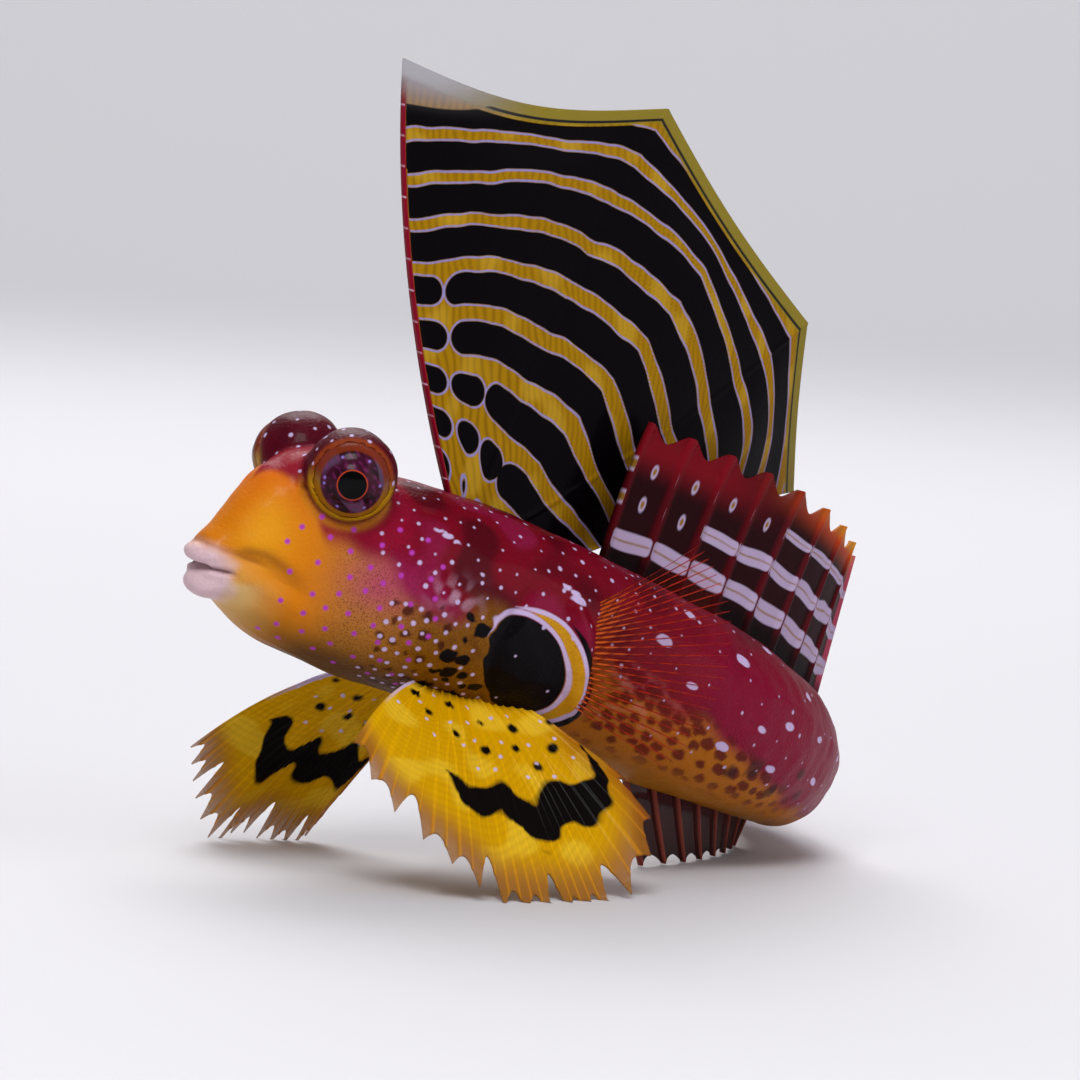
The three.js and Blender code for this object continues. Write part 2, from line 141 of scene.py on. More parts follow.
def through(pairs):
    """A smooth curve through [x, y] pairs, held level past both ends."""
    xs, ys = np.array(pairs, float).T
    last = len(xs) - 1
    low = np.maximum(np.arange(last + 1) - 1, 0)
    high = np.minimum(np.arange(last + 1) + 1, last)
    slopes = (ys[high] - ys[low]) / (xs[high] - xs[low])

    def value(x):
        x = np.clip(np.asarray(x, float), xs[0], xs[-1])
        i = np.clip(np.searchsorted(xs, x, side="right") - 1, 0, last - 1)
        width = xs[i + 1] - xs[i]
        t = (x - xs[i]) / width
        return (
            ys[i] * (1 + 2 * t) * (1 - t) ** 2
            + slopes[i] * width * t * (1 - t) ** 2
            + ys[i + 1] * t * t * (3 - 2 * t)
            + slopes[i + 1] * width * t * t * (t - 1)
        )

    return value


bend, slope, lean = through(BEND_TO_RIGHT), through(SLOPE_DOWN), through(LEAN_TO_LEFT)
back, belly, breadth = through(BACK), through(BELLY), through(BREADTH)


def tailward(s):
    down, right = np.radians(slope(s)), np.radians(bend(s))
    return np.stack([np.cos(down) * np.cos(right), np.cos(down) * np.sin(right), -np.sin(down)], -1)


stations = np.arange(int((BODY_LENGTH + 1) / STEP) + 1) * STEP
spine = np.vstack([np.zeros(3), np.cumsum(tailward(stations[:-1] + STEP / 2) * STEP, 0)])


def on_spine(s):
    return np.stack([np.interp(s, stations, spine[:, k]) for k in range(3)], -1)


spine += np.array([0, 0, PERCH_HEIGHT]) - on_spine(PERCH_STATION)


def directions(s):
    """The body's directions at a station: towards the tail, the left side and the back."""
    tail = tailward(s)
    right = np.radians(bend(s))
    level = np.stack([np.sin(right), -np.cos(right), np.zeros_like(right)], -1)
    upright = np.cross(level, tail)
    roll = np.radians(lean(s))[..., None]
    return tail, level * np.cos(roll) - upright * np.sin(roll), upright * np.cos(roll) + level * np.sin(roll)


def place(s, aside, height):
    s = np.asarray(s, float)
    _, left, up = directions(s)
    return on_spine(s) + left * np.asarray(aside, float)[..., None] + up * np.asarray(height, float)[..., None]


def straight(s, girth, grow=0.0):
    """Station, distance to the left and height of a point on the body's surface."""
    a = np.radians(girth)
    side, high = np.sin(a), np.cos(a)
    half = np.where(high > 0, back(s), belly(s))
    aside = (breadth(s) + grow) * np.sign(side) * np.abs(side) ** ROUNDNESS
    height = (half + grow) * np.sign(high) * np.abs(high) ** ROUNDNESS
    return np.stack(np.broadcast_arrays(s, aside, height), -1)


def skin(s, girth, grow=0.0):
    q = straight(np.asarray(s, float), np.asarray(girth, float), grow)
    return place(q[..., 0], q[..., 1], q[..., 2])


def to_straight(points):
    """Station, aside and height of points near the body."""
    s = np.empty(len(points))
    for start in range(0, len(points), BATCH):
        part = points[start : start + BATCH]
        away = ((part[:, None, :] - spine[None, ::4, :]) ** 2).sum(-1)
        s[start : start + BATCH] = stations[::4][away.argmin(1)]
    for _ in range(3):
        s = np.clip(s + ((points - on_spine(s)) * tailward(s)).sum(-1), 0, BODY_LENGTH + 0.9)
    tail, left, up = directions(s)
    offset = points - on_spine(s)
    s = s + (offset * tail).sum(-1)
    return np.stack([s, (offset * left).sum(-1), (offset * up).sum(-1)], -1)


def eye_centres(side):
    s = np.array(float(EYE["station"]))
    tail, left, up = directions(s)
    orbit = place(s, side * EYE["aside"], EYE["height"])
    forward, upward = math.radians(EYE["forward"]), math.radians(EYE["upward"])
    gaze = left * side * math.cos(forward) - tail * math.sin(forward) + up * math.sin(upward)
    gaze = unit(gaze)
    return orbit, orbit + gaze * EYE["outward"], gaze


# The fish's own frame stands in the solids' frame where its left eye does.
eye_low, eye_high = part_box("eye_left")
OFFSET = (np.array(eye_low) + np.array(eye_high)) * 500 - eye_centres(1)[1]
OFFSET[2] = 0


def metres(points):
    return (np.asarray(points) + OFFSET) * 0.001


# Meshes
def make_object(name, points, faces, real=True):
    """A mesh object, in metres in the solids' frame, or in millimetres if it isn't real yet."""
    mesh = bpy.data.meshes.new(name)
    points = np.asarray(metres(points) if real else points, dtype=np.float32)
    faces = np.asarray(faces, dtype=np.int32)
    corners = faces.shape[1]
    mesh.vertices.add(len(points))
    mesh.vertices.foreach_set("co", points.ravel())
    mesh.loops.add(faces.size)
    mesh.loops.foreach_set("vertex_index", faces.ravel())
    mesh.polygons.add(len(faces))
    mesh.polygons.foreach_set("loop_start", np.arange(0, faces.size, corners, dtype=np.int32))
    mesh.update(calc_edges=True)
    mesh.validate()
    obj = bpy.data.objects.new(name, mesh)
    bpy.context.collection.objects.link(obj)
    return obj


def coordinates(mesh):
    points = np.empty(len(mesh.vertices) * 3, dtype=np.float32)
    mesh.vertices.foreach_get("co", points)
    return points.reshape(-1, 3).astype(float)


def normals(mesh):
    out = np.empty(len(mesh.vertices) * 3, dtype=np.float32)
    mesh.vertex_normals.foreach_get("vector", out)
    return out.reshape(-1, 3).astype(float)


def dress(obj, paint, fields):
    """Writes the colour and the named fields on an object's vertices."""
    colour = obj.data.attributes.new("paint", "FLOAT_COLOR", "POINT")
    rgba = np.ones((len(paint), 4), dtype=np.float32)
    rgba[:, :3] = np.clip(paint, 0, 1)
    colour.data.foreach_set("color", rgba.ravel())
    for name, values in fields.items():
        layer = obj.data.attributes.new(name, "FLOAT", "POINT")
        layer.data.foreach_set("value", np.asarray(values, dtype=np.float32).ravel())
    obj.data.polygons.foreach_set("use_smooth", np.ones(len(obj.data.polygons), dtype=bool))


def remade(obj, *changes):
    """The object's mesh after the given modifiers, each a kind and its settings."""
    for kind, settings in changes:
        modifier = obj.modifiers.new(kind.lower(), kind)
        for key, value in settings.items():
            setattr(modifier, key, value)
    graph = bpy.context.evaluated_depsgraph_get()
    mesh = bpy.data.meshes.new_from_object(obj.evaluated_get(graph))
    obj.modifiers.clear()
    obj.data = mesh
    return obj


def ball(centre, radii, basis=None, rings=48, around=64):
    """Points and faces of an ellipsoid."""
    basis = np.eye(3) if basis is None else np.array(basis)
    polar = np.linspace(0, math.pi, rings + 1)[1:-1]
    turn = np.arange(around) * 2 * math.pi / around
    rows = [[np.cos(polar), np.ones(around)], [np.sin(polar), np.cos(turn)], [np.sin(polar), np.sin(turn)]]
    sphere = np.stack([np.outer(*row) for row in rows], -1).reshape(-1, 3)
    sphere = np.vstack([sphere, [[1, 0, 0], [-1, 0, 0]]])
    points = centre + (sphere * np.array(radii)) @ basis
    first, final = len(sphere) - 2, len(sphere) - 1
    faces = []
    for i in range(rings - 2):
        for j in range(around):
            k = (j + 1) % around
            a, b, c, d = i * around + j, i * around + k, (i + 1) * around + k, (i + 1) * around + j
            faces += [(a, c, b), (a, d, c)]
    last_row = (rings - 2) * around
    for j in range(around):
        k = (j + 1) % around
        faces += [(first, j, k), (final, last_row + k, last_row + j)]
    faces = np.array(faces)
    if np.linalg.det(basis) < 0:
        faces = faces[:, ::-1]
    return points, faces


def body_shell(rings=240, around=96):
    """Points and faces of the whole body, closed at both ends."""
    s = np.linspace(0.45, BODY_LENGTH + 0.4, rings + 1)
    girth = np.arange(around) * 360 / around
    points = skin(s[:, None], girth[None, :]).reshape(-1, 3)
    points = np.vstack([points, on_spine(s[:1]), on_spine(s[-1:])])
    faces = []
    for j in range(around):
        k = (j + 1) % around
        faces += [(len(points) - 2, k, j), (len(points) - 1, rings * around + j, rings * around + k)]
        for i in range(rings):
            a, b, c, d = i * around + j, i * around + k, (i + 1) * around + k, (i + 1) * around + j
            faces += [(a, b, c), (a, c, d)]
    return points, np.array(faces)


# Materials
COAT_ROUGHNESS = 0.14
FLESH_REACH = (1.0, 0.35, 0.2)  # how far red, green and blue light goes, relative to the depth
FLESH_DEPTH = 0.0006  # metres


def material(
    name, slot, roughness, coat, layers=(), bump=None, alpha=None, flesh=0.0, shine=0.02, stipple=None
):
    """Vertex paint, a stipple where a field allows it, and crisp layers over both.

    A layer is a field's name, a colour and half the width of its edge: it shows where the
    field is negative.
    """
    made = bpy.data.materials.new(name)
    made.use_nodes = True
    nodes, links = made.node_tree.nodes, made.node_tree.links
    shader = nodes["Principled BSDF"]

    def attribute(field, output="Fac"):
        node = nodes.new("ShaderNodeAttribute")
        node.attribute_name = field
        return node.outputs[output]

    def texture(kind, scale):
        node = nodes.new(kind)
        node.inputs["Scale"].default_value = scale
        where = nodes.new("ShaderNodeTexCoord")
        links.new(where.outputs["Object"], node.inputs["Vector"])
        return node

    def ramp(value, low, high):
        node = nodes.new("ShaderNodeMapRange")
        node.inputs["From Min"].default_value = low
        node.inputs["From Max"].default_value = high
        links.new(value, node.inputs["Value"])
        return node.outputs["Result"]

    def laid_over(below, code, amount):
        node = nodes.new("ShaderNodeMix")
        node.data_type = "RGBA"
        links.new(amount, node.inputs[0])
        links.new(below, node.inputs[6])
        node.inputs[7].default_value = (*rgb(code), 1)
        return node.outputs[2]

    colour = attribute("paint", "Color")
    if stipple:
        field, code, scale = stipple
        share = nodes.new("ShaderNodeMath")
        share.operation = "MULTIPLY"
        dots = texture("ShaderNodeTexVoronoi", scale).outputs["Distance"]
        links.new(ramp(dots, 0.42, 0.24), share.inputs[0])
        links.new(attribute(field), share.inputs[1])
        colour = laid_over(colour, code, share.outputs["Value"])
    for field, code, edge in layers:
        colour = laid_over(colour, code, ramp(attribute(field), edge, -edge))
    links.new(colour, shader.inputs["Base Color"])
    settings = {
        "Roughness": roughness, "Specular IOR Level": shine,
        "Coat Weight": coat, "Coat Roughness": COAT_ROUGHNESS,
    }
    if flesh:
        settings |= {
            "Subsurface Weight": flesh, "Subsurface Radius": FLESH_REACH, "Subsurface Scale": FLESH_DEPTH,
        }
    for socket, value in settings.items():
        shader.inputs[socket].default_value = value
    if alpha:
        links.new(attribute(alpha), shader.inputs["Alpha"])
    if bump:
        scale, strength, depth = bump
        grain = texture("ShaderNodeTexNoise", scale)
        grain.inputs["Detail"].default_value = 3
        lift = nodes.new("ShaderNodeBump")
        lift.inputs["Strength"].default_value = strength
        lift.inputs["Distance"].default_value = depth
        links.new(grain.outputs["Fac"], lift.inputs["Height"])
        links.new(lift.outputs["Normal"], shader.inputs["Normal"])
    made["slot"] = slot
    return made


def finish_piece(obj, made, nodes):
    obj.data.materials.clear()
    obj.data.materials.append(made)
    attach(obj, "root")
    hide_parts(*nodes)


# Marks
NOWHERE = 9.0  # a signed distance that is outside every mark


def scatter(points, wanted, spacing, seed, limit):
    """Some of the wanted points, spread out with at least about spacing between them."""
    source = np.random.default_rng(seed)
    pool = np.flatnonzero(wanted)
    source.shuffle(pool)
    chosen = np.empty((0, 3))
    for i in pool[: limit * 14]:
        gap = spacing * source.uniform(0.85, 1.35)
        if len(chosen) == 0 or ((chosen - points[i]) ** 2).sum(1).min() > gap * gap:
            chosen = np.vstack([chosen, points[i]])
        if len(chosen) >= limit:
            break
    return chosen


def draws(seed, count):
    return np.random.default_rng(seed).random(count)


def to_spots(points, centres, radii, stretch=(1, 1, 1)):
    """Signed distance in millimetres to the nearest of some spots, negative inside."""
    near = np.full(len(points), NOWHERE)
    if len(centres) == 0:
        return near
    spots = centres / np.array(stretch)
    for start in range(0, len(points), BATCH):
        part = points[start : start + BATCH] / np.array(stretch)
        away = np.sqrt(np.maximum((part**2).sum(1)[:, None] + (spots**2).sum(1) - 2 * part @ spots.T, 0))
        near[start : start + BATCH] = (away - radii).min(1)
    return near


def spots_at(places, side=1):
    """Centres and radii of spots given as [station, girth, radius]."""
    table = np.array(places, float)
    return straight(table[:, 0], side * table[:, 1]), table[:, 2]


# Skin: one closed surface from the lips to the root of the tail fin
BROW = {"station": 4.6, "height": 3.3, "along": 2.1, "aside": 1.9, "thick": 1.3}
# The fleshy ridge behind the disc, where the pectoral fin grows: [station, girth, radius]
PECTORAL_RIDGE = [[13.4, 70, 0.3], [14.05, 82, 0.42], [14.4, 97, 0.5], [14.8, 112, 0.42], [15.3, 124, 0.25]]
RIDGE_BALLS = 17
VOXEL = 0.075


def basis_at(s):
    return list(directions(np.array(float(s))))


def lip_ball(lip):
    s = lip["station"]
    return ball(place(s, 0, lip["height"]), (lip["along"], lip["aside"], lip["thick"]), basis_at(s))


def nearest_eye(points):
    """Distances from points to the nearer orbit's centre, and to the nearer eye's."""
    centres = [eye_centres(side) for side in SIDES]
    return [np.minimum(*[length(points - eye[k]) for eye in centres]) for k in (0, 1)]


def skin_shells():
    """The closed shapes that the skin joins."""
    shells = [body_shell(), lip_ball(UPPER_LIP), lip_ball(LOWER_LIP), lip_ball(BROW)]
    numbers = np.arange(len(PECTORAL_RIDGE))
    at = np.linspace(0, numbers[-1], RIDGE_BALLS)
    columns = np.array(PECTORAL_RIDGE).T
    ridge = np.stack([through(np.stack([numbers, column], -1))(at) for column in columns], -1)
    for side in SIDES:
        shells.append(ball(eye_centres(side)[0], [ORBIT_RADIUS] * 3))
        for s, girth, radius in ridge:
            shells.append(ball(skin(s, side * girth, -0.1), [radius] * 3, None, 20, 28))
    return shells


def build_skin():
    sockets = [
        make_object("socket", *ball(eye_centres(side)[1], [SOCKET_RADIUS] * 3), real=False) for side in SIDES
    ]
    cuts = [("BOOLEAN", {"operation": "DIFFERENCE", "object": one, "solver": "EXACT"}) for one in sockets]
    shells = [remade(make_object("shell", *shell, real=False), *cuts) for shell in skin_shells()]
    joined = bpy.data.meshes.new("joined")
    whole = bmesh.new()
    for shell in shells:
        whole.from_mesh(shell.data)
    whole.to_mesh(joined)
    whole.free()
    for spent in shells + sockets:
        bpy.data.objects.remove(spent)
    obj = bpy.data.objects.new("skin", joined)
    bpy.context.collection.objects.link(obj)
    remade(obj, ("REMESH", {"mode": "VOXEL", "voxel_size": VOXEL}))
    soften(obj)
    return obj


def soften(obj):
    """Softens the skin where two shapes meet, but not at the sockets' rims."""
    points = coordinates(obj.data)
    s, aside, height = to_straight(points).T
    around = np.degrees(np.arctan2(np.abs(aside), height))
    weights = [
        np.full(len(points), 0.12),
        smooth(3.4, 2.4, s) * smooth(0.4, 1.4, s) * 0.9,
        0.55 * smooth(12.6, 13.4, s) * smooth(16.4, 15.6, s) * smooth(60, 70, around),
    ]
    for side in SIDES:
        near, rim = (length(points - centre) for centre in eye_centres(side)[:2])
        weights.append(smooth(2.6, 1.7, near) * smooth(1.56, 1.85, rim))
        weights.append(0.3 * smooth(0.2, 0.08, np.abs(rim - SOCKET_RADIUS)))
    group = obj.vertex_groups.new(name="soft")
    levels = np.round(np.maximum.reduce(weights), 1)
    for level in np.unique(levels):
        group.add(np.flatnonzero(levels == level).tolist(), float(level), "REPLACE")
    remade(obj, ("SMOOTH", {"factor": 0.5, "iterations": 60, "vertex_group": "soft"}))


def from_slit(s, height):
    """Distance above the slit of the mouth."""
    return height - 0.02 + 0.06 * s


def from_groove(s, height):
    """Distance above the groove between the upper lip and the snout."""
    return height - 0.95 + 0.25 * s


def sculpt(obj):
    """Fine form pressed into the skin, along its normals."""
    points, outward = coordinates(obj.data), normals(obj.data)
    q = to_straight(points)
    s, aside, height = q.T
    girth = np.degrees(np.arctan2(np.abs(aside) / breadth(s), height / np.where(height > 0, back(s), belly(s))))
    fold = np.abs(girth - (66 + 9 * s))
    gill_groove = s - 10.9 - 0.02 * np.abs(girth - 100)
    lift = sum([
        # The slit between the lips, the groove over them, and the fold that runs back from the slit
        -0.26 * hump(from_slit(s, height), 0.09) * smooth(1.5, 0.95, s),
        -0.1 * hump(from_groove(s, height), 0.12) * smooth(0.7, 1.0, s) * smooth(2.6, 1.7, s),
        -0.1 * hump(fold, 5) * smooth(1.0, 1.6, s) * smooth(4.2, 2.8, s),
        0.07 * hump(fold - 14, 8) * smooth(1.0, 1.8, s) * smooth(4.4, 2.8, s),
        # Cheek, the groove behind the gill cover, and the swelling on the cover
        0.2 * hump(s - 8.4, 1.7) * hump(girth - 108, 34),
        -0.16 * hump(gill_groove, 0.28) * smooth(60, 80, girth) * smooth(165, 140, girth),
        0.1 * hump(s - 8.6, 1.0) * hump(girth - 86, 11),
        -0.06 * hump(s - 9.9, 0.4) * hump(girth - 82, 10),
        # Muscles of the nape, a low ridge along the flank, and small irregularities
        0.1 * hump(girth - 28, 14) * smooth(6.5, 8.5, s) * smooth(34, 26, s),
        0.07 * hump(girth - 62, 7) * smooth(9, 12, s) * smooth(39, 30, s),
        0.035 * waves(points, 1.3, 3),
        0.012 * waves(points, 0.42, 4),
    ])
    for side in SIDES:
        near = length(points - skin(NOSTRIL["station"], side * NOSTRIL["girth"]))
        lift += 0.13 * hump(near - NOSTRIL["radius"], 0.09) - 0.2 * hump(near, 0.14)
    lift *= smooth(1.47, 1.75, nearest_eye(points)[1])
    return points + outward * lift[:, None], q, girth


# Where the ruby of the back ends: [station, girth]
RUBY_EDGE = [
    [0, -14], [2.6, -14], [3.4, 2], [4.0, 32], [4.7, 58], [6.2, 76], [8, 89], [11, 90], [14, 92], [17.6, 98],
    [23, 112], [28, 122], [40, 132],
]
# Pale marks, each a [station, girth, radius]: ovals on both flanks, and on the left side white streaks that are
# painted highlights
PALE_OVALS = [
    [17.4, 67, 0.34], [21.1, 52, 0.34], [21.3, 106, 0.28], [24.0, 105, 0.24], [24.0, 77, 0.27],
    [25.3, 43, 0.24], [28.8, 37, 0.22], [27.3, 96, 0.24], [13.5, 66, 0.3], [19.0, 84, 0.22],
    [22.6, 88, 0.22], [26.3, 70, 0.22],
    [29.2, 66, 0.2], [30.6, 92, 0.2], [32.0, 60, 0.2], [33.8, 88, 0.18], [35.6, 62, 0.18], [37.2, 95, 0.16],
    [18.6, 38, 0.26], [22.9, 26, 0.24], [27.0, 18, 0.22],
]
OVAL_SCALE = 0.72
# Painted highlights: white streaks on the left side only, each a [station, girth, radius]
HIGHLIGHT_STREAKS = [
    [8.0, 52, 0.09], [8.3, 54, 0.11], [8.65, 56, 0.08], [9.6, 70, 0.07], [13.0, 60, 0.12], [13.35, 62, 0.11],
]
REAR_SHADOWS = [[23.3, 110, 0.36], [25.9, 97, 0.22], [22.4, 118, 0.3], [24.9, 118, 0.3], [26.8, 112, 0.22]]
# The disc's centre, its radius in millimetres, and its half axes in millimetres along and round the body
DISC = {"station": 12.4, "girth": 110.5, "radius": 1.55, "degree": 0.07, "axes": [[1.52, -0.56], [1.08, 1.83]]}
EYE_DOTS = {"from_orbit": 1.8, "outward": 0.1, "radius": 0.12, "angles": range(15, 190, 24)}


def survey(points, q, girth):
    """What the skin's painting needs to know of each point."""
    s, aside, height = q.T
    fine, finer, wobble = (waves(points, size, seed) for size, seed in ((0.35, 12), (0.16, 13), (1.6, 11)))
    orbit, rim = nearest_eye(points)
    offset = np.stack([s - DISC["station"], (girth - DISC["girth"]) * DISC["degree"]], -1)
    u, v = (offset @ np.linalg.inv(DISC["axes"])).T
    ragged = 1 + 0.03 * wobble + 0.06 * fine * smooth(-0.2, -0.8, u)
    return SimpleNamespace(
        points=points, q=q, s=s, girth=girth, height=height, side=np.sign(aside), edge=through(RUBY_EDGE)(s),
        orbit=orbit, rim=rim, over_eye=height - EYE["height"], wobble=wobble, fine=fine,
        grain=np.stack([fine, finer, wobble], -1),
        disc=(np.hypot(u, v) / ragged - 1) * DISC["radius"], turn=np.degrees(np.arctan2(v, u)),
        gill=(s > 6.4) & (s < 13.6) & (girth > 91) & (girth < 156),
    )


def skin_colours(at):
    """The skin's soft colours, and how much stipple each point has."""
    s, girth, height, wobble, fine, orbit, rim = at.s, at.girth, at.height, at.wobble, at.fine, at.orbit, at.rim
    ochre = "#8c5c0a"
    ruby = layered(rgb("#74001a"), [
        ("#22000a", 0.6 * smooth(0.1, 0.9, wobble) * smooth(26, 18, s)),
        ("#b32c70", 0.2 * smooth(0.2, 0.9, -wobble) * smooth(6, 8, s) * smooth(18, 12, s)),
        ("#860032", 0.7 * smooth(15, 22, s) * smooth(20, 70, girth)),
        ("#780036", 0.5 * smooth(25, 33, s)),
    ])
    # Below the ruby: orange flank and belly, golden brown gill region, amber cheek and ochre throat
    belly_part = layered(rgb("#b0640a"), [(ochre, 0.6 * smooth(128, 160, girth))])
    gill_part = layered(rgb("#80500c"), [(ochre, 0.7 * smooth(105, 140, girth))])
    cheek = layered(rgb("#b0702e"), [("#d47a0c", smooth(5.6, 3.2, s)), (ochre, 0.7 * smooth(108, 142, girth))])
    lower = tint(tint(belly_part, gill_part, smooth(14.5, 12.5, s)), cheek, smooth(8.4, 5.8, s))
    low = smooth(-8, 8, girth - at.edge + 7 * wobble)
    speckled = 0.6 * low * smooth(3.8, 5.2, s) * smooth(15, 13.5, s) * smooth(150, 138, girth)
    speckled = np.maximum(speckled, 0.4 * (1 - low) * smooth(4.5, 6, s))

    between_eyes = smooth(1.8, 2.2, s - 0.03 * girth + 0.15 * wobble) * smooth(7.5, 6.5, s)
    between_eyes *= smooth(74, 60, girth)
    above = smooth(-0.45, 0.35, at.over_eye)
    ring = smooth(1.6, 1.48, rim) * smooth(1.95, 1.7, orbit)
    lips = smooth(1.2, 0.5, height + 0.18 * s) * smooth(-1.8, -0.9, height)
    # A painted highlight: a pale patch on the swelling of the gill cover
    painted_highlight = hump(s - 8.7, 0.9) * hump(girth - 84, 8) * smooth(-0.4, 0.7, waves(at.points, 0.35, 14))
    # Brown-red ovals in a pale pink network on the lower flank
    unrolled = np.stack([s, np.radians(girth) * breadth(s) * at.side, np.zeros_like(s)], -1)
    flank = smooth(15.3, 16.4, s) * smooth(30, 24, s) * smooth(-6, 6, girth - at.edge + 8)
    flank *= smooth(172, 160, girth)
    ovals = scatter(unrolled, flank > 0.3, 0.56, 21, 900)
    oval = to_spots(unrolled + 0.05 * at.grain, ovals, 0.15 + 0.1 * draws(6, len(ovals)), (1.45, 1, 1))
    paint = layered(tint(ruby, lower, low), [
        ("#b32c70", 0.62 * hump(s - 6.1, 1.2) * hump(girth - 84, 15)),
        # Snout: orange above, yellow along the lips' roots, and crimson between the eyes
        ("#e0640e", 0.75 * hump(s - 2.7, 1.1) * smooth(75, 25, girth)),
        ("#eda51c", 0.7 * hump(s - 2.1, 0.9) * hump(girth - 62, 26)),
        ("#d9ae62", 0.55 * smooth(3.4, 1.8, s) * smooth(80, 110, girth)),
        ("#8c062a", 0.95 * between_eyes),
        # Brown mottling on the gill region, and shadow under the chin
        ("#3f1a06", 0.25 * low * smooth(0.1, 0.9, fine) * smooth(6.0, 8.5, s) * smooth(15, 13, s)),
        ("#2c0f06", 0.72 * smooth(126, 150, girth) * smooth(2.6, 4.6, s) * smooth(14, 11, s)),
        # Orbits: dark ruby, with an orange arc over the eye and a golden one under it
        ("#4a0216", smooth(1.95, 1.6, orbit)),
        ("#b8860f", ring * (1 - above)),
        ("#8f3a14", 0.9 * ring * above * smooth(1.54, 1.47, rim)),
        ("#c47a16", 0.75 * hump(rim - 1.78, 0.14) * smooth(-0.1, -0.9, at.over_eye)),
        # Lips: lavender white, fading back into the snout, with the groove, painted shadow in the slit, and the
        # fold
        ("#dc9c48", 0.75 * lips * smooth(2.5, 1.2, s + 0.25 * wobble)),
        ("#d8b478", 0.75 * lips * smooth(0.7, 1.4, s) * smooth(2.5, 1.6, s) * smooth(-0.2, -0.5, height)),
        ("#dabfce", 0.86 * lips * smooth(1.5, 0.55, s + 0.3 * wobble + 0.12 * fine)),
        ("#8a4a20", 0.35 * hump(from_groove(s, height), 0.08) * smooth(2.6, 1.7, s)),
        # Painted shadow along the slit between the lips
        ("#6b3438", 0.65 * hump(from_slit(s, height), 0.07) * smooth(1.6, 1.05, s)),
        ("#8a4a14", 0.6 * hump(girth - (58 + 9 * s), 3.4) * smooth(1.1, 1.7, s) * smooth(4.0, 2.6, s)),
        # A painted highlight on the gill cover, and the ovals
        ("#cfa9c4", 0.5 * painted_highlight),
        ("#c87a66", 0.55 * flank * smooth(0.02, 0.16, oval) * smooth(21, 16.5, s) * smooth(130, 110, girth)),
        ("#5c0c06", 0.9 * flank * smooth(0.03, -0.05, oval) * smooth(150, 128, girth)),
    ])
    return paint, speckled


def line_round(disc, middle, thick, present):
    """Signed distance to a line that runs round the disc where it is present."""
    return np.where(present > 0.02, np.abs(disc - middle) - thick * present, 1.0)


def skin_marks(at, paint):
    """The skin's paint with its soft marks, and the signed distances to the crisp ones."""
    points, s, girth, disc, turn = at.points, at.s, at.girth, at.disc, at.turn
    jitter = 0.11 * at.grain
    # Black blotches on the gill region, which become brown freckles on the cheek
    blots = scatter(points, at.gill & (disc > 0.35) & (s < 12.6), 0.55, 31, 190)
    station = to_straight(blots)[:, 0]
    wide = (0.1 + 0.19 * draws(5, len(blots)) ** 1.3) * smooth(2.5, 8.5, station)
    on_cheek = station < 8.8
    freckles = to_spots(points + jitter, blots[on_cheek], 0.8 * wide[on_cheek])
    dark = to_spots(points + jitter, blots[~on_cheek], wide[~on_cheek], (1.3, 1, 1))
    # Round the disc's top and rear: a white line, a yellow crescent, a second line and a painted shadow line in
    # the crease behind them
    near_line = smooth(-150, -110, turn) * smooth(98, 72, turn)
    far_line = smooth(-95, -60, turn) * smooth(104, 80, turn)
    # Where the painted shadow line runs behind the crescent
    behind = smooth(-40, -10, turn) * smooth(112, 80, turn)
    crescent = 0.16 + 0.46 * smooth(-85, -20, turn) * smooth(105, 30, turn)
    yellow = smooth(0.14, 0.2, disc) * smooth(crescent + 0.12, crescent + 0.02, disc) * near_line
    # The dark field holds the black blots, the black disc and the painted shadow line
    dark = np.minimum.reduce([dark, disc, line_round(disc, crescent + 0.28, 0.13, behind)])
    paint = layered(paint, [
        ("#3c0e04", 0.85 * smooth(0.06, -0.04, freckles)),
        ("#2c0108", 0.75 * smooth(0.16, -0.12, to_spots(at.q + jitter, *spots_at(REAR_SHADOWS)))),
        ("#c98f12", yellow * smooth(-85, -55, turn)),
    ])

    pale = [line_round(disc, 0.1, 0.08, near_line), line_round(disc, crescent + 0.08, 0.08, far_line)]
    upper = (girth < at.edge - 4) & (s > 5.8) & (s < 17) & (at.orbit > 2.0)
    on_orbit = (at.orbit < 1.85) & (at.rim > 1.5) & (at.over_eye > -0.4)
    several = np.random.default_rng(8)
    for wanted, spacing, seed, limit, small, large in (
        (upper, 0.62, 41, 420, 0.05, 0.1),
        (on_orbit, 0.62, 42, 60, 0.06, 0.1),
        (at.gill & (disc > 0.4) & (dark > 0.12), 0.5, 43, 420, 0.075, 0.11),
        (disc < -0.2, 1.6, 45, 8, 0.05, 0.06),
        ((s > 16) & (s < 39) & (girth < 120), 1.1, 44, 380, 0.04, 0.085),
    ):
        centres = scatter(points, wanted, spacing, seed, limit)
        radii = small + (large - small) * several.random(len(centres)) ** 2
        pale.append(to_spots(points, centres, radii))
    for side in SIDES:
        centres, radii = spots_at(PALE_OVALS, side)
        pale.append(to_spots(at.q + 0.4 * jitter, centres, OVAL_SCALE * radii, (1.5, 1, 0.8)))
    # The streaks are painted highlights, drawn with the pale marks
    pale.append(to_spots(at.q + 0.5 * jitter, *spots_at(HIGHLIGHT_STREAKS), (1.7, 1, 1)))

    # Purple dots on the face, and a row of them round each orbit
    face = (s > 2.6) & (s < 8.2) & (girth > 55) & (girth < 150) & (at.orbit > 1.85)
    row = []
    tail, _, up = basis_at(EYE["station"])
    for side in SIDES:
        orbit, _, gaze = eye_centres(side)
        for angle in np.radians(EYE_DOTS["angles"]):
            outward = (tail * math.cos(angle) - up * math.sin(angle)) * EYE_DOTS["from_orbit"]
            row.append(orbit + outward + gaze * EYE_DOTS["outward"])
    violet = np.minimum(
        to_spots(points, scatter(points, face, 0.72, 51, 240), 0.1),
        to_spots(points, np.array(row), EYE_DOTS["radius"]),
    )
    return paint, {"dark": dark, "pale": np.minimum.reduce(pale), "violet": violet}


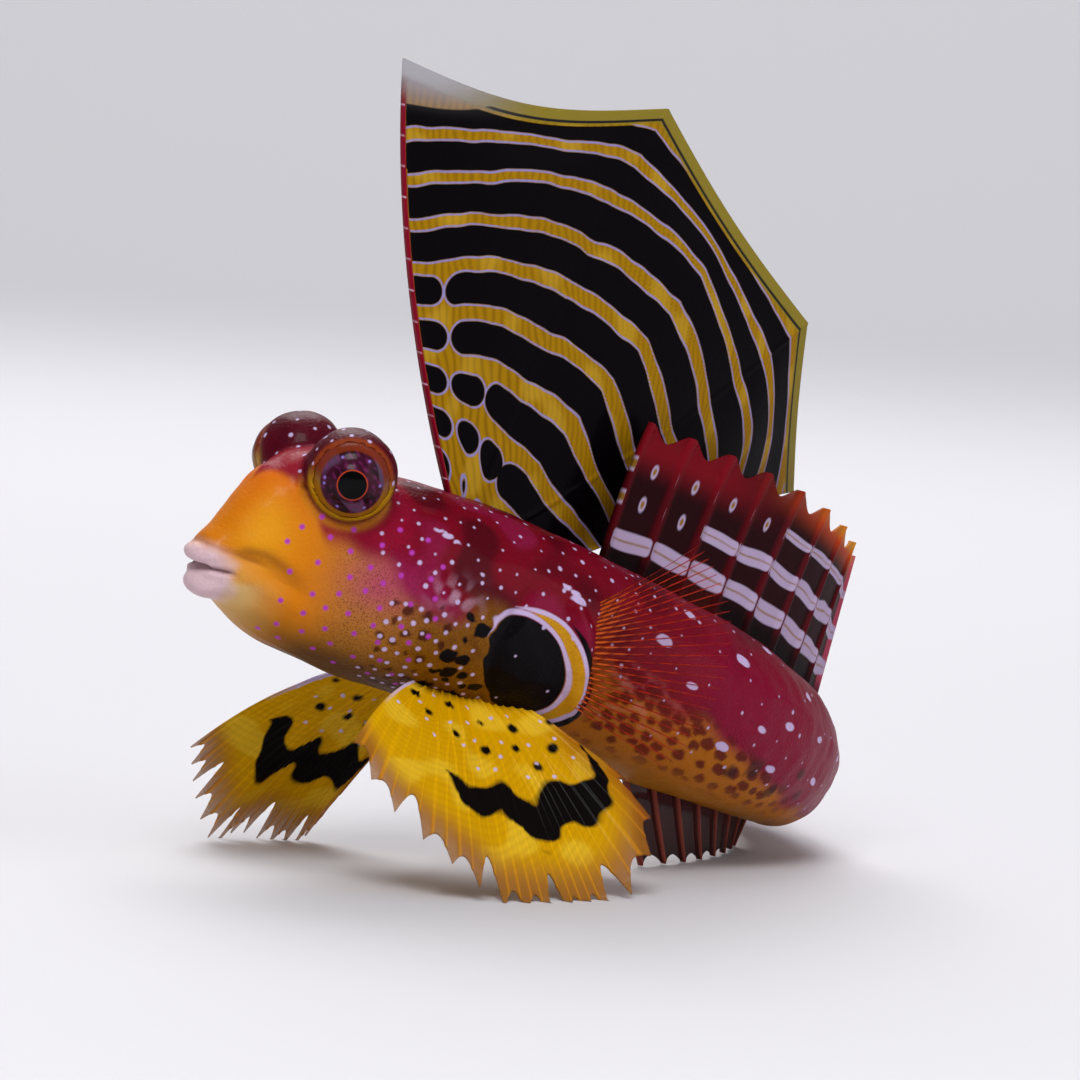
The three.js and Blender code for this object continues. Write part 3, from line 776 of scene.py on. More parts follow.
def finish_skin():
    obj = build_skin()
    points, q, girth = sculpt(obj)
    at = survey(points, q, girth)
    paint, speckled = skin_colours(at)
    paint, fields = skin_marks(at, paint)
    dress(obj, paint, fields | {"speckled": speckled})
    obj.data.vertices.foreach_set("co", metres(points).astype(np.float32).ravel())
    obj.data.update()
    made = material(
        "skin", "ruby_skin", 0.4, 0.07, flesh=0.05, bump=(9000, 0.5, 0.00008), shine=0.05,
        stipple=("speckled", "#4a1206", 14000),
        # The dark layer also draws the painted shadow behind the disc, and the pale layer the painted highlight
        # streaks
        layers=[("violet", "#b43cae", 0.035), ("dark", "#060206", 0.03), ("pale", "#c4aed6", 0.025)],
    )
    finish_piece(obj, made, ["head", "torso", "trunk", "tail"])


finish_skin()

# Eyes: angles from the gaze, in degrees
PUPIL_EDGE = 20.5
PUPIL_RING = {"middle": 21.6, "half": 0.9}
IRIS_DOTS = {"angle": 45, "turns": range(10, 361, 58), "radius": 0.038}
ARC_LENGTH = 0.02  # millimetres to a degree


def build_eye(name, side, made):
    _, centre, gaze = eye_centres(side)
    second = unit(np.cross(gaze, basis_at(EYE["station"])[2]))
    axes = np.array([gaze, second, np.cross(gaze, second)])
    points, faces = ball(np.zeros(3), [1, 1, 1], axes, 150, 200)
    forward, across, down = (points @ axes.T).T
    polar = np.degrees(np.arccos(np.clip(forward, -1, 1)))
    turn = np.arctan2(down, across)
    radius = EYE["radius"] - 0.01 - 0.04 * hump(polar - 40, 8) + 0.03 * smooth(36, 16, polar)
    iris = np.stack([np.cos(turn) * polar / 60, np.sin(turn) * polar / 60], -1)
    upward = -np.sin(turn)
    paint = layered(rgb("#3c0d24"), [
        ("#14040a", 0.85 * smooth(-0.1, 0.6, waves(iris, 0.42, 61 + side))),
        ("#7d5f86", 0.35 * smooth(0.2, 0.55, waves(iris, 0.5, 81 + side)) * smooth(26, 31, polar)),
        ("#86266a", 0.35 * smooth(0.2, 0.9, waves(iris, 0.12, 71 + side))),
        ("#7a2c0c", 0.9 * smooth(50, 55, polar) * smooth(-0.3, 0.3, upward)),
        ("#9a680c", 0.9 * smooth(50, 55, polar) * smooth(0.3, -0.3, upward)),
    ])
    angle, turns = math.radians(IRIS_DOTS["angle"]), np.radians(IRIS_DOTS["turns"])
    out = math.sin(angle)
    dots = np.stack([np.full(len(turns), math.cos(angle)), out * np.cos(turns), out * np.sin(turns)], -1)
    fields = {
        "ring": (np.abs(polar - PUPIL_RING["middle"]) - PUPIL_RING["half"]) * ARC_LENGTH,
        "pupil": (polar - PUPIL_EDGE) * ARC_LENGTH,
        "dots": to_spots(points, dots @ axes, IRIS_DOTS["radius"]),
    }
    eye = make_object(name + "_ball", centre + points * radius[:, None], faces)
    dress(eye, paint, fields)
    finish_piece(eye, made, [name])


eye_material = material(
    "eye", "eye_dark", 0.25, 0.12, shine=0.05,
    layers=[("dots", "#8f74c9", 0.02), ("ring", "#b8401a", 0.012), ("pupil", "#010102", 0.012)],
)
build_eye("eye_left", 1, eye_material)
build_eye("eye_right", -1, eye_material)


# Fins
def quads(rows, columns):
    """Faces of a closed sheet: two grids of rows by columns, and the rim between them."""
    number = np.arange(rows * columns).reshape(rows, columns)
    front = np.stack([number[:-1, :-1], number[1:, :-1], number[1:, 1:], number[:-1, 1:]], -1).reshape(-1, 4)
    rim = np.concatenate([number[:, 0], number[-1, 1:], number[-2::-1, -1], number[0, -2:0:-1]])
    following = np.roll(rim, -1)
    edge = np.stack([following, rim, rim + number.size, following + number.size], -1)
    return np.vstack([front, front[:, ::-1] + number.size, edge])


def sheet_normals(grid):
    return unit(np.cross(np.gradient(grid, axis=0), np.gradient(grid, axis=1)))


def steepness(grid, values):
    """How fast values change over a sheet, per millimetre."""
    a, b = np.gradient(grid, axis=0), np.gradient(grid, axis=1)
    pa, pb = np.gradient(values)
    aa, ab, bb = (a * a).sum(-1), (a * b).sum(-1), (b * b).sum(-1)
    area = np.maximum(aa * bb - ab * ab, 1e-12)
    return np.sqrt(np.maximum((pa * pa * bb - 2 * pa * pb * ab + pb * pb * aa) / area, 1e-6))


def bezier(root, middle, tip, v):
    v = v[..., None]
    return root * (1 - v) ** 2 + 2 * middle * v * (1 - v) + tip * v * v


def between(ends, t):
    return ends[0] + (ends[1] - ends[0]) * t


def shares(count):
    """Even steps from 0 to 1."""
    return [i / (count - 1) for i in range(count)]


def measured(sheet, grid):
    """The sheet with its points, and what is measured across them in millimetres."""
    sheet.grid = grid
    sheet.spread = length(np.gradient(grid, axis=0)) / np.gradient(sheet.t[:, 0])[:, None]
    sheet.away = np.abs(sheet.t - np.round(sheet.t)) * sheet.spread
    sheet.tall = length(grid[:, -1] - grid[:, 0])[:, None]
    return sheet


def fin_sheet(rays, per_gap, steps, notches, smoothly=True, rounded=False):
    """A fin's middle surface: columns numbered by ray in t, and rows from root to margin in v.

    The margin is cut in between the rays by the notches, which repeat.
    """
    count = len(rays)
    f = np.arange(per_gap) / per_gap
    f = 0.6 * f + 0.4 * (0.5 - 0.5 * np.cos(math.pi * f))
    number = np.append(np.repeat(np.arange(count - 1), per_gap), count - 1)
    fraction = np.append(np.tile(f, count - 1), 0.0)
    t, keys = number + fraction, np.arange(count)
    curves = []
    for ends in np.array(rays).transpose(1, 2, 0):
        if smoothly:
            columns = [through(np.stack([keys, values], -1))(t) for values in ends]
        else:
            columns = [np.interp(t, keys, values) for values in ends]
        curves.append(np.stack(columns, -1)[:, None, :])
    v = np.linspace(0, 1, steps + 1)[None, :]
    hollow = np.sin(math.pi * fraction) ** (2 if rounded else 1)
    reach = v * (1 - (np.resize(notches, count)[number] * hollow)[:, None])
    sheet = SimpleNamespace(t=t[:, None], fraction=fraction[:, None], v=v, reach=reach)
    return measured(sheet, bezier(*curves, reach))


def ridged(sheet, membrane, ridge, taper, from_ridge, width):
    """Half the thickness of a membrane with ridges that thin out towards the margin."""
    return membrane + (ridge - taper * sheet.v) * hump(from_ridge, width)


CLEARANCE = 0.01  # between the floor and the lowest points of the fins


def make_fin(name, sheet, half, paint, fields, made, node):
    """A fin from its middle surface: both faces and the rim, painted alike on both sides."""
    grid, shift = sheet.grid, sheet_normals(sheet.grid) * half[..., None]
    points = np.concatenate([(grid + shift).reshape(-1, 3), (grid - shift).reshape(-1, 3)])
    points[:, 2] = np.maximum(points[:, 2], CLEARANCE)
    obj = make_object(name, points, quads(*grid.shape[:2]))
    doubled = {key: np.tile(values.ravel(), 2) for key, values in fields.items()}
    dress(obj, np.tile(paint.reshape(-1, 3), (2, 1)), doubled)
    finish_piece(obj, made, [node])


def fin_material(name, slot, roughness, coat, grain=7000, layers=()):
    bump = (grain, 0.3, 0.00004)
    return material(name, slot, roughness, coat, alpha="cover", bump=bump, layers=layers)


def ray(station, girth, length, backward, aside=0, up=1, bow=0, depth=1.3):
    """A ray's root inside the body, its middle and its tip."""
    tail, left, high = basis_at(station)
    leaves = skin(station, girth)

    def towards(b, a):
        b, a = math.radians(b), math.radians(a)
        return tail * math.sin(b) * math.cos(a) + high * up * math.cos(b) * math.cos(a) + left * math.sin(a)

    start = towards(backward - bow, aside)
    return leaves - start * depth, leaves + start * length / 2, leaves + towards(backward, aside) * length


# First dorsal fin: the sail
SAIL_SPINES = [
    dict(station=9.45, girth=0, length=15.7, backward=-23, aside=1, bow=10),
    dict(station=10.55, girth=0, length=15.9, backward=11, aside=-3, bow=7),
    dict(station=12.4, girth=-4, length=15.2, backward=43, aside=-12, bow=-6),
    dict(station=15.7, girth=-20, length=13.5, backward=62, aside=-24, bow=4),
]
SAIL_NOTCH = [0.05, 0.025, 0.03, 0]
SAIL_GRID = ((110, 250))
# Where the stripes cross the front edge and each later spine, and how far apart they are there
STRIPE_START = [0.175, 0.09, 0.05, 0.03]
STRIPE_STEP = [0.094, 0.109, 0.112, 0.112]
# How far the stripes bulge outwards between the spines: positions across the fin, and share of its height
STRIPE_BULGE = [[0, 0.5, 1, 1.5, 2, 2.5, 3], [0, 0.035, 0.02, 0.1, 0.03, 0.02, 0]]
# The gaps of yellow that break each dark stripe, from the body outwards: positions across the fin
STRIPE_BREAKS = {-1: [0.3, 0.75], 0: [0.3, 0.7, 1.15], 1: [0.24, 0.62], 2: [0.24], 3: [0.2]}
# Half a dark stripe's width as a share of their spacing, by the stripe's number
STRIPE_HALF = [[-1, 2.5, 4, 6, 7, 8], [0.31, 0.31, 0.33, 0.345, 0.32, 0.3]]
BEADS = 15


def sail_stripes(sail, from_rim):
    """Signed distances to the dark stripes, arcs round the root, and to their lavender edges."""
    t, reach = sail.t, sail.reach
    keys = np.arange(len(SAIL_SPINES))
    start, step = (through(np.stack([keys, values], -1))(t) for values in (STRIPE_START, STRIPE_STEP))
    bulge = np.interp(t, *STRIPE_BULGE) * reach * smooth(1.0, 0.7, reach)
    ripple = 0.06 * waves(sail.grid, 2.2, 91) + 0.02 * waves(sail.grid, 0.7, 92)
    phase = (reach - bulge - start) / step
    period = np.clip(1 / steepness(sail.grid, phase), 0.8, 2.2)
    phase = phase + ripple
    band = np.floor(phase)
    beyond = np.zeros_like(phase)
    for number, breaks in STRIPE_BREAKS.items():
        for gap in breaks:
            closeness = (np.abs(t - gap) - 0.13 / np.maximum(sail.spread, 1)) * sail.spread
            beyond = np.where(band == number, np.maximum(beyond, 0.46 - closeness), beyond)
    black = np.hypot(np.abs(phase - band - 0.5) * period, beyond) - period * np.interp(phase, *STRIPE_HALF)
    lavender = np.maximum(np.abs(black - 0.045) - 0.034, 0.66 - from_rim)
    # A thin dark line follows the margin.
    black = np.minimum(np.maximum(black, 0.7 - from_rim), np.abs(from_rim - 0.5) - 0.06)
    return black, lavender


def build_sail():
    rays = [ray(**one) for one in SAIL_SPINES]
    sail = fin_sheet(rays, *SAIL_GRID, SAIL_NOTCH, smoothly=False)
    loose = fin_sheet(rays, *SAIL_GRID, SAIL_NOTCH).grid
    t, v, reach = sail.t, sail.v, sail.reach
    grid = sail.grid + (loose - sail.grid) * smooth(1.0, 0.75, v)[..., None]
    # The membrane billows a little between the spines.
    billow = np.sin(math.pi * sail.fraction) * smooth(0.05, 0.6, v)
    grid = grid + sheet_normals(grid) * (0.2 * billow)[..., None]
    measured(sail, grid)
    away, tall = sail.away, sail.tall
    leading = smooth(0.5, 0.2, t)
    half = 0.05 + (0.2 - 0.12 * v) * (0.25 + 0.75 * leading) * hump(away, 0.1 + 0.08 * (1 - v))
    from_rim = (1 - reach / np.maximum(reach[:, -1:], 1e-6)) * tall
    margin = smooth(0.75, 0.5, from_rim)
    black, lavender = sail_stripes(sail, from_rim)
    across = np.cumsum(length(np.diff(grid, axis=0, prepend=grid[:1])), 0)
    ribs = 0.5 + 0.5 * np.sin(across / 0.16 * math.pi + 2 * waves(grid, 1.0, 93))
    corner = smooth(0.86, 0.98, reach) * smooth(0.55, 0.1, t)
    front_spine = smooth(0.16, 0.06, away) * leading
    paint = layered(rgb("#a67a08"), [
        ("#5f3d06", 0.45 * smooth(0.35, 1, ribs)),
        ("#d9b23a", 0.3 * smooth(0.1, 0.8, waves(grid, 0.8, 94))),
        ("#8f7d1c", margin),
        ("#8d8792", corner),
        ("#8a0c26", front_spine * smooth(0.98, 0.9, v)),
    ])
    black, lavender = (
        np.maximum(np.where(front_spine > 0.5, 1.0, field), corner - 0.3) for field in (black, lavender)
    )
    # Pale dots along the leading spine
    beads = np.abs((v * BEADS) % 1 - 0.5) * tall / BEADS
    dots = np.where(t < 0.25, np.hypot(beads, away) - 0.03, 1.0)
    made = fin_material(
        "sail", "sail_yellow", 0.5, 0.04, 6000,
        [("lavender", "#8f88c4", 0.018), ("black", "#050205", 0.018), ("dots", "#d9b0c4", 0.02)],
    )
    fields = {"black": black, "lavender": lavender, "dots": dots, "cover": 1 - 0.5 * corner - 0.15 * margin}
    make_fin("sail", sail, half, paint, fields, made, "dorsal_fin_first")


build_sail()

# Fins along the middle of the back and the belly: pairs hold the first ray's value and the last's
SECOND_DORSAL = dict(
    count=9, station=(15.8, 30.2), girth=0, up=1, length=(5.2, 6.6), backward=(-3, 18), aside=(2, -18), bow=6
)
ANAL = dict(
    count=8, station=(20.5, 31), girth=180, up=-1, length=(5.9, 5.9), backward=(44, 60), aside=(0, 0), bow=8
)
SOFT_NOTCH = 0.1
RAY_CUT_HEIGHT = 0.06
# Pale stripes along the second dorsal fin: height, half width, and where each starts and ends
SECOND_STRIPES = [(0.3, 0.3, 0.0, 1.0), (0.5, 0.3, 0.25, 1.0), (0.72, 0.2, 0.5, 1.0)]
# Pale cells at the front, above the stripes: height and the number of the ray before
FRONT_CELLS = [(0.51, 0), (0.51, 1), (0.71, 0), (0.72, 1), (0.72, 2), (0.71, 3)]
CELL_CORNER = 0.14


def midline_rays(count, station, girth, up, length, backward, aside, bow):
    return [
        ray(between(station, t), girth, between(length, t), between(backward, t), between(aside, t), up, bow)
        for t in shares(count)
    ]


def second_dorsal_cells(fin, along):
    """Signed distances to the pale cells, and to their yellow cores."""
    nearest = np.abs(fin.t - np.round(fin.t))
    spread = fin.away / np.maximum(nearest, 1e-6)
    wave = 0.012 * waves(fin.grid, 1.4, 101)
    pale, core = [], []
    for centre, wide, first, last in SECOND_STRIPES:
        up_stripe = (fin.reach - centre - 0.02 * along - wave) * fin.tall
        past_end = np.maximum(CELL_CORNER + 0.05 - nearest * spread, 0)
        past_edge = np.maximum(np.abs(up_stripe) - wide + CELL_CORNER, 0)
        cell = np.hypot(past_end, past_edge) - CELL_CORNER
        cell = np.where((along < first) | (along > last), NOWHERE, cell)
        pale.append(cell)
        core.append(np.maximum(np.abs(up_stripe) - 0.03, cell + 0.05))
    for centre, number in FRONT_CELLS:
        oval = np.hypot((fin.reach - centre) * fin.tall * 0.55, (fin.t - number - 0.5) * spread) - 0.15
        pale.append(oval)
        core.append(oval + 0.07)
    return np.minimum.reduce(pale), np.minimum.reduce(core)


def build_second_dorsal():
    fin = fin_sheet(midline_rays(**SECOND_DORSAL), 34, 130, SOFT_NOTCH, rounded=True)
    reach, away = fin.reach, fin.away
    along = fin.t / (SECOND_DORSAL["count"] - 1)
    paint = layered(rgb("#24060a"), [
        ("#5c0c16", 0.7 * smooth(0.34, 0.08, away)),
        ("#7e0e1c", 0.85 * smooth(0.62, 0.84, reach) * smooth(0.55, 0.2, along)),
        ("#d2491a", 0.8 * smooth(0.76, 0.95, reach) * smooth(0.3, 0.75, along)),
        ("#c99a20", 0.6 * smooth(0.88, 0.97, reach) * smooth(0.5, 0.85, along)),
        ("#c2506a", 0.7 * smooth(0.965, 0.985, along)),
        ("#060304", 0.8 * smooth(0.3, 0.2, reach)),
    ])
    pale, core = second_dorsal_cells(fin, along)
    cover = 1 - 0.2 * smooth(0.15, 0.3, away) * smooth(0.8, 1, reach)
    made = fin_material(
        "second_dorsal", "fin_dusk_red", 0.5, 0.05,
        layers=[("pale", "#b09cbc", 0.03), ("core", "#8a6424", 0.03)],
    )
    half = ridged(fin, 0.06, 0.17, 0.08, away, 0.2)
    fields = {"pale": pale, "core": core, "cover": cover}
    make_fin("second_dorsal", fin, half, paint, fields, made, "dorsal_fin_second")


def above_floor(root, middle, tip):
    """A ray cut off where it would reach the floor."""
    v = np.linspace(0, 1, 81)
    low = bezier(root, middle, tip, v)[:, 2] < RAY_CUT_HEIGHT
    end = v[low.argmax()] if low.any() else 1.0
    return root, root + (middle - root) * end, bezier(root, middle, tip, np.array([end]))[0]


def build_anal():
    fin = fin_sheet([above_floor(*one) for one in midline_rays(**ANAL)], 26, 90, SOFT_NOTCH)
    paint = layered(rgb("#3a1210"), [
        ("#96493c", 0.8 * smooth(0.2, 0.06, fin.away)),
        ("#120809", 0.5 * smooth(0.6, 1, fin.reach) * smooth(0.1, 0.3, fin.away)),
    ])
    cover = 0.86 + 0.14 * smooth(0.2, 0.08, fin.away)
    half = ridged(fin, 0.05, 0.14, 0.07, fin.away, 0.14)
    made = fin_material("anal", "fin_dusk", 0.5, 0.05)
    make_fin("anal", fin, half, paint, {"cover": cover}, made, "anal_fin")


build_second_dorsal()
build_anal()

TAIL_FIN = {
    "rays": 10, "length": 10.6, "spread": 15, "curl": 6, "root_half": 1.05, "roundness": 0.14, "notch": 0.04,
}


def build_tail_fin():
    s = BODY_LENGTH + 0.3
    tail, left, up = basis_at(s)
    rays = []
    for i in range(TAIL_FIN["rays"]):
        t = 1 - 2 * i / (TAIL_FIN["rays"] - 1)
        root = place(s, 0, t * TAIL_FIN["root_half"])
        long = TAIL_FIN["length"] * (1 - TAIL_FIN["roundness"] * t * t)
        fanned = math.radians(TAIL_FIN["spread"] * t)
        ahead = tail * math.cos(fanned) + up * math.sin(fanned)
        curled = unit(ahead - left * math.tan(math.radians(TAIL_FIN["curl"])))
        rays.append((root - tail * 0.4, root + ahead * long / 2, root + curled * long))
    fin = fin_sheet(rays, 26, 130, TAIL_FIN["notch"])
    reach, away = fin.reach, fin.away
    fork = np.abs(away - 0.12 * smooth(0.35, 0.8, reach))
    bars = 0.5 + 0.5 * np.sin(reach * 44 + 1.5 * waves(fin.grid, 1.2, 111))
    paint = layered(rgb("#b8446e"), [
        ("#d9879d", 0.6 * smooth(0.25, 0.08, away)),
        ("#6d1238", 0.55 * smooth(0.5, 0.9, bars) * smooth(0.3, 0.12, away)),
    ])
    cover = 0.72 + 0.28 * smooth(0.2, 0.06, away)
    half = ridged(fin, 0.06, 0.13, 0.06, fork, 0.1)
    made = fin_material("tail_fin_look", "tail_pink", 0.45, 0.08)
    make_fin("tail_fan", fin, half, paint, {"cover": cover}, made, "tail_fin")


build_tail_fin()

PECTORAL = {
    "station": 14.3, "rays": 25, "girth": (64, 118), "root": 0.2, "length": [[0, 4.5], [0.5, 5.6], [1, 4.9]],
    "raise": (54, -12), "flare": {1: 14, -1: 48}, "bow": 8, "notch": 0.08,
}


def build_pectoral(name, node, side, made):
    flare = PECTORAL["flare"][side]
    tail, left, up = basis_at(PECTORAL["station"])
    length_at = through(PECTORAL["length"])

    def towards(rise, out):
        rise, out = math.radians(rise), math.radians(out)
        level = math.cos(out)
        return tail * math.cos(rise) * level + up * math.sin(rise) * level + left * side * math.sin(out)

    rays = []
    for t in shares(PECTORAL["rays"]):
        root = skin(PECTORAL["station"], side * between(PECTORAL["girth"], t), -PECTORAL["root"])
        rise, long = between(PECTORAL["raise"], t), float(length_at(t))
        bowed = towards(rise, flare + PECTORAL["bow"])
        rays.append((root, root + bowed * long / 2, root + towards(rise, flare) * long))
    fin = fin_sheet(rays, 14, 90, PECTORAL["notch"])
    reach, away = fin.reach, fin.away
    dashes = 0.5 + 0.5 * np.sin(reach * 52 + fin.t * 2.4)
    membrane = smooth(0.03, 0.07, away)
    paint = layered(rgb("#b02a14"), [
        ("#8e1220", 0.6 * smooth(0.1, -0.6, waves(fin.grid, 0.7, 121))),
        ("#d9702a", 0.5 * smooth(0.45, 0.1, reach)),
        ("#5a0d12", 0.6 * smooth(0.55, 0.95, dashes) * smooth(0.85, 0.6, reach)),
        ("#96260f", 0.5 * membrane),
    ])
    cover = 1 - membrane * (0.96 - 0.2 * smooth(0.25, 0.05, reach))
    cover = cover * (1 - 0.25 * smooth(0.85, 1, reach))
    make_fin(name, fin, ridged(fin, 0.015, 0.07, 0.045, away, 0.05), paint, {"cover": cover}, made, node)


pectoral_material = material("pectoral", "fin_orange", 0.4, 0.1, alpha="cover")
build_pectoral("pectoral_fan_left", "pectoral_fin_left", 1, pectoral_material)
build_pectoral("pectoral_fan_right", "pectoral_fin_right", -1, pectoral_material)

PELVIC_ROOT = {"station": (9.7, 13), "girth": (152, 139), "depth": 0.5}
PELVIC_HUB_ASIDE = 2.9
PELVIC_RAYS = 16
# By side: the first and last ray's heading, then the dark band, the reach and the height across the fin
PELVIC = {
    1: {
        "heading": (22, 156),
        "band": [[0, 0.24, 0.3, 0.5, 0.8, 0.94, 1], [0, 0, 0.045, 0.085, 0.1, 0.05, 0]],
        "reach": [[0, 6.5], [0.15, 6.9], [0.45, 6], [0.7, 6], [0.9, 6.8], [1, 5.6]],
        "height": [[0, 5.4], [0.12, 3.4], [0.3, 1.2], [0.42, 0], [0.76, 0], [0.88, 2], [1, 4.2]],
    },
    -1: {
        "heading": (30, 92),
        "band": [[0, 0.12, 0.22, 0.8, 1], [0, 0, 0.08, 0.1, 0.05]],
        "reach": [[0, 7.2], [0.3, 7], [0.7, 5.6], [1, 4.6]],
        "height": [[0, 3.8], [0.2, 1.8], [0.35, 0.2], [0.5, 0.5], [0.65, 0.1], [0.8, 0], [1, 1.6]],
    },
}
PELVIC_ARCH = [[0, 1.3], [0.7, 1.3], [1, 0.3]]
PELVIC_FLAT = 0.25
PELVIC_NOTCH = [0.07, 0.07, 0.15]


def pelvic_rays(side):
    shape = PELVIC[side]
    reach_at, height_at, arch_at = through(shape["reach"]), through(shape["height"]), through(PELVIC_ARCH)
    rays = []
    for t in shares(PELVIC_RAYS):
        girth = side * between(PELVIC_ROOT["girth"], t)
        root = skin(between(PELVIC_ROOT["station"], t), girth, -PELVIC_ROOT["depth"])
        heading = math.radians(between(shape["heading"], t))
        aside = PELVIC_HUB_ASIDE + reach_at(t) * math.sin(heading)
        tip = np.array([-reach_at(t) * math.cos(heading), -side * aside, height_at(t) - PELVIC_FLAT])
        rays.append((root, (root + tip) / 2 + np.array([0, 0, arch_at(t)]), tip))
    return rays


def build_pelvic(name, node, side, made):
    fin = fin_sheet(pelvic_rays(side), 24, 120, PELVIC_NOTCH)
    t, reach = fin.t, fin.reach
    # Each ray splits twice on its way out.
    split = np.abs(fin.away - fin.spread * 0.25 * smooth(0.3, 0.55, reach))
    along = t / (PELVIC_RAYS - 1)
    hatch = 0.5 + 0.5 * np.sin(reach * 190 + t * 9)
    paint = layered(rgb("#dba400"), [
        ("#b98500", 0.4 * smooth(0.05, 0.16, split)),
        ("#f2cf3a", 0.4 * smooth(0.1, 0.8, waves(fin.grid, 1.1, 141))),
        ("#bf7420", 0.8 * smooth(0.76, 0.93, reach)),
        ("#7c5230", 0.5 * smooth(0.76, 0.95, reach) * smooth(0.04, 0.14, split)),
        ("#8a3a12", 0.7 * smooth(0.8, 0.97, along) * smooth(0.2, 0.5, reach)),
        ("#a87400", 0.22 * smooth(0.4, 1, hatch) * smooth(0.2, 0.4, reach)),
    ])
    band_at = 0.62 + 0.045 * np.sin(t * 1.5 + 0.8) + 0.022 * waves(fin.grid, 0.6, 142)
    thick = np.interp(along, *PELVIC[side]["band"])
    black = (np.abs(reach - band_at) - thick) * 6.5
    black = np.where(thick <= 0, np.maximum(black, 0.3), black)
    points = fin.grid.reshape(-1, 3)
    blots = scatter(points, ((reach > 0.18) & (reach < 0.42)).ravel(), 1.05, 143 + side, 26)
    black = np.minimum(black, to_spots(points, blots, 0.12 + 0.1 * draws(9, len(blots))).reshape(reach.shape))
    dots = scatter(points, ((reach > 0.12) & (reach < 0.5)).ravel(), 0.85, 153 + side, 60)
    pale = to_spots(points, dots, 0.08).reshape(reach.shape)
    pale = np.minimum(pale, np.where(along < 0.012, 0.2 * (reach - 0.5), 1.0))
    cover = 1 - 0.4 * smooth(0.78, 1, reach) * smooth(0.02, 0.1, split)
    fields = {"cover": cover, "black": black, "pale": pale}
    make_fin(name, fin, ridged(fin, 0.04, 0.08, 0.05, split, 0.06), paint, fields, made, node)


pelvic_material = fin_material(
    "pelvic", "fin_yellow", 0.5, 0.06, layers=[("black", "#0b0606", 0.07), ("pale", "#cdb9dc", 0.025)]
)
build_pelvic("pelvic_fan_left", "pelvic_fin_left", 1, pelvic_material)
build_pelvic("pelvic_fan_right", "pelvic_fin_right", -1, pelvic_material)


# Floor, light and camera, in metres
FLOOR = {"near": -1.5, "far": 0.5, "curve": 0.6, "wall": 1.6, "wide": 2.5, "roughness": 0.7}
FLOOR_COLOUR = (0.68, 0.67, 0.7, 1)
SKY = {"Color": (0.86, 0.87, 0.92, 1), "Strength": 0.26}
FISH_MIDDLE = metres(np.array([2.0, 0.0, 11.0])).tolist()
# Each light's name, place, size, power and the point that it shines at
LIGHTS = [
    ("key", (-0.16, -0.22, 0.3), 0.16, 0.92, FISH_MIDDLE),
    ("fill", (0.24, -0.26, 0.14), 0.3, 0.35, FISH_MIDDLE),
    ("rim", (0.1, 0.24, 0.26), 0.2, 0.45, FISH_MIDDLE),
    ("wall", (0.3, 0.52, 0.8), 0.7, 4.5, (0.33, 0.57, 0.0)),
]


def view_directions():
    """The camera's directions: forward, to the right and up."""
    yaw, elevation, roll = (math.radians(CAMERA[key]) for key in ("yaw", "elevation", "roll"))
    flat = math.cos(elevation)
    forward = np.array([math.sin(yaw) * flat, math.cos(yaw) * flat, -math.sin(elevation)])
    level = np.array([math.cos(yaw), -math.sin(yaw), 0])
    upright = np.cross(level, forward)
    right = level * math.cos(roll) + upright * math.sin(roll)
    return forward, right, upright * math.cos(roll) - level * math.sin(roll)


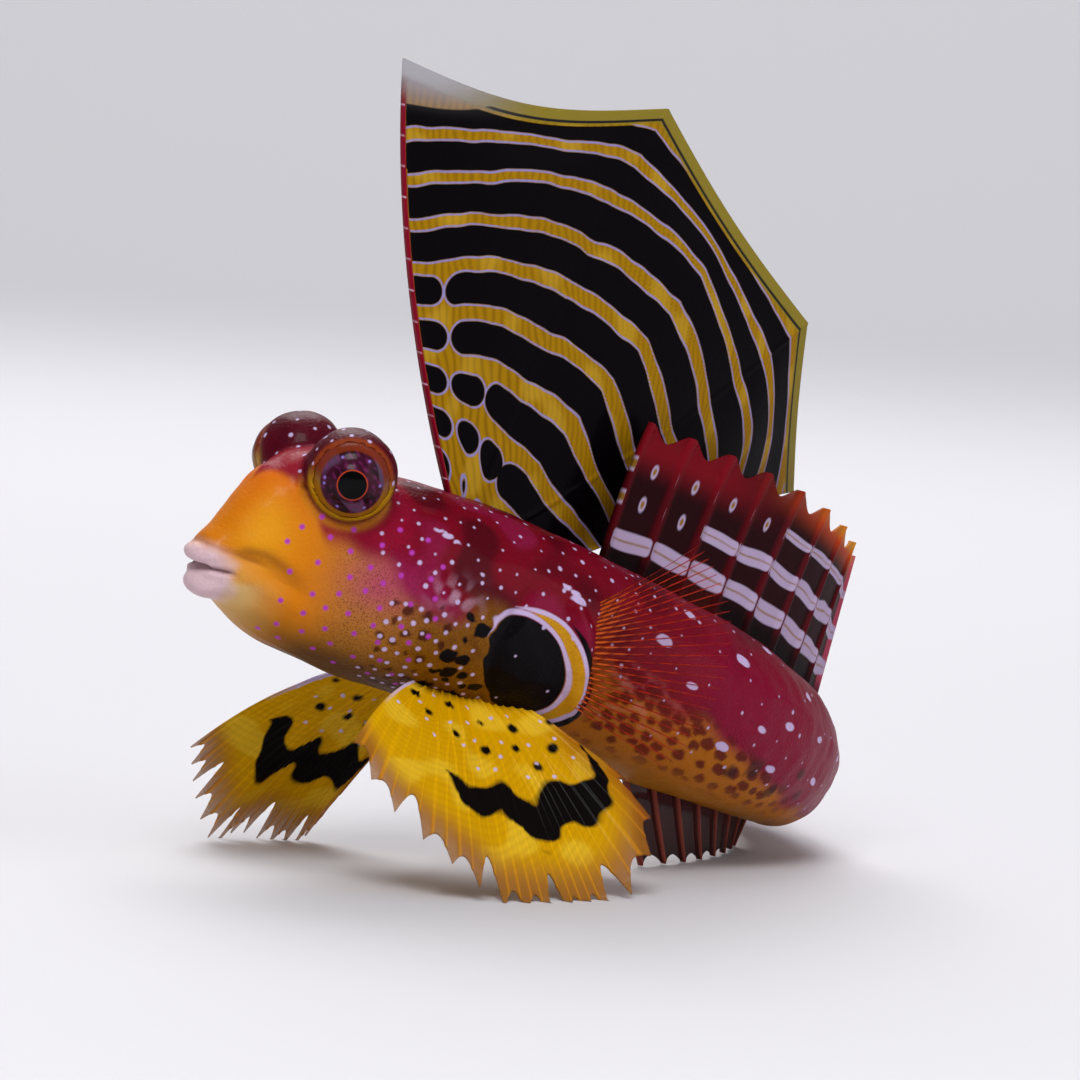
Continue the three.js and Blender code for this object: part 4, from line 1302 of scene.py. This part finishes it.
def build_stage():
    """A pale floor that sweeps up into a wall behind the fish."""
    away = unit(view_directions()[0] * np.array([1, 1, 0]))
    across = np.array([-away[1], away[0], 0])
    far, curve = FLOOR["far"], FLOOR["curve"]
    bends = np.linspace(0, math.pi / 2, 25)
    profile = [(FLOOR["near"], 0)]
    profile += [(far + curve * math.sin(a), curve * (1 - math.cos(a))) for a in bends]
    profile.append((far + curve, FLOOR["wall"]))
    corners = []
    for side in (-1, 1):
        edge = across * side * FLOOR["wide"]
        corners += [(away * d + edge + np.array([0, 0, h])).tolist() for d, h in profile]
    count = len(profile)
    mesh = bpy.data.meshes.new("floor")
    mesh.from_pydata(corners, [], [(i + count, i + count + 1, i + 1, i) for i in range(count - 1)])
    mesh.polygons.foreach_set("use_smooth", [True] * len(mesh.polygons))
    floor = bpy.data.objects.new("floor", mesh)
    bpy.context.collection.objects.link(floor)
    pale = bpy.data.materials.new("floor")
    pale.use_nodes = True
    shader = pale.node_tree.nodes["Principled BSDF"]
    shader.inputs["Base Color"].default_value = FLOOR_COLOUR
    shader.inputs["Roughness"].default_value = FLOOR["roughness"]
    mesh.materials.append(pale)
    world = bpy.context.scene.world or bpy.data.worlds.new("studio")
    bpy.context.scene.world = world
    world.use_nodes = True
    for socket, value in SKY.items():
        world.node_tree.nodes["Background"].inputs[socket].default_value = value


def add_light(name, where, size, power, aim):
    lamp = bpy.data.lights.new(name, "AREA")
    lamp.size = size
    lamp.energy = power
    obj = bpy.data.objects.new(name, lamp)
    obj.location = where
    obj.rotation_euler = (Vector(aim) - Vector(where)).to_track_quat("-Z", "Y").to_euler()
    bpy.context.collection.objects.link(obj)


def add_camera():
    forward, right, up = view_directions()
    scale, distance = CAMERA["pixels_per_mm"], CAMERA["distance"]
    half = FRAME_PIXELS / 2
    shift = right * (half - ANCHOR_PIXEL[0]) / scale - up * (half - ANCHOR_PIXEL[1]) / scale
    lens = bpy.data.cameras.new("camera")
    lens.sensor_fit = "HORIZONTAL"
    lens.angle = 2 * math.atan(half / scale / distance)
    lens.clip_start = 0.01
    lens.clip_end = 20
    camera = bpy.data.objects.new("camera", lens)
    turn = Matrix((right.tolist(), up.tolist(), (-forward).tolist())).transposed()
    where = metres(np.array(ANCHOR, float) + shift - forward * distance).tolist()
    camera.matrix_world = Matrix.Translation(where) @ turn.to_4x4()
    bpy.context.collection.objects.link(camera)
    bpy.context.scene.camera = camera


build_stage()
for light in LIGHTS:
    add_light(*light)
add_camera()
bpy.context.scene.view_settings.view_transform = "Standard"
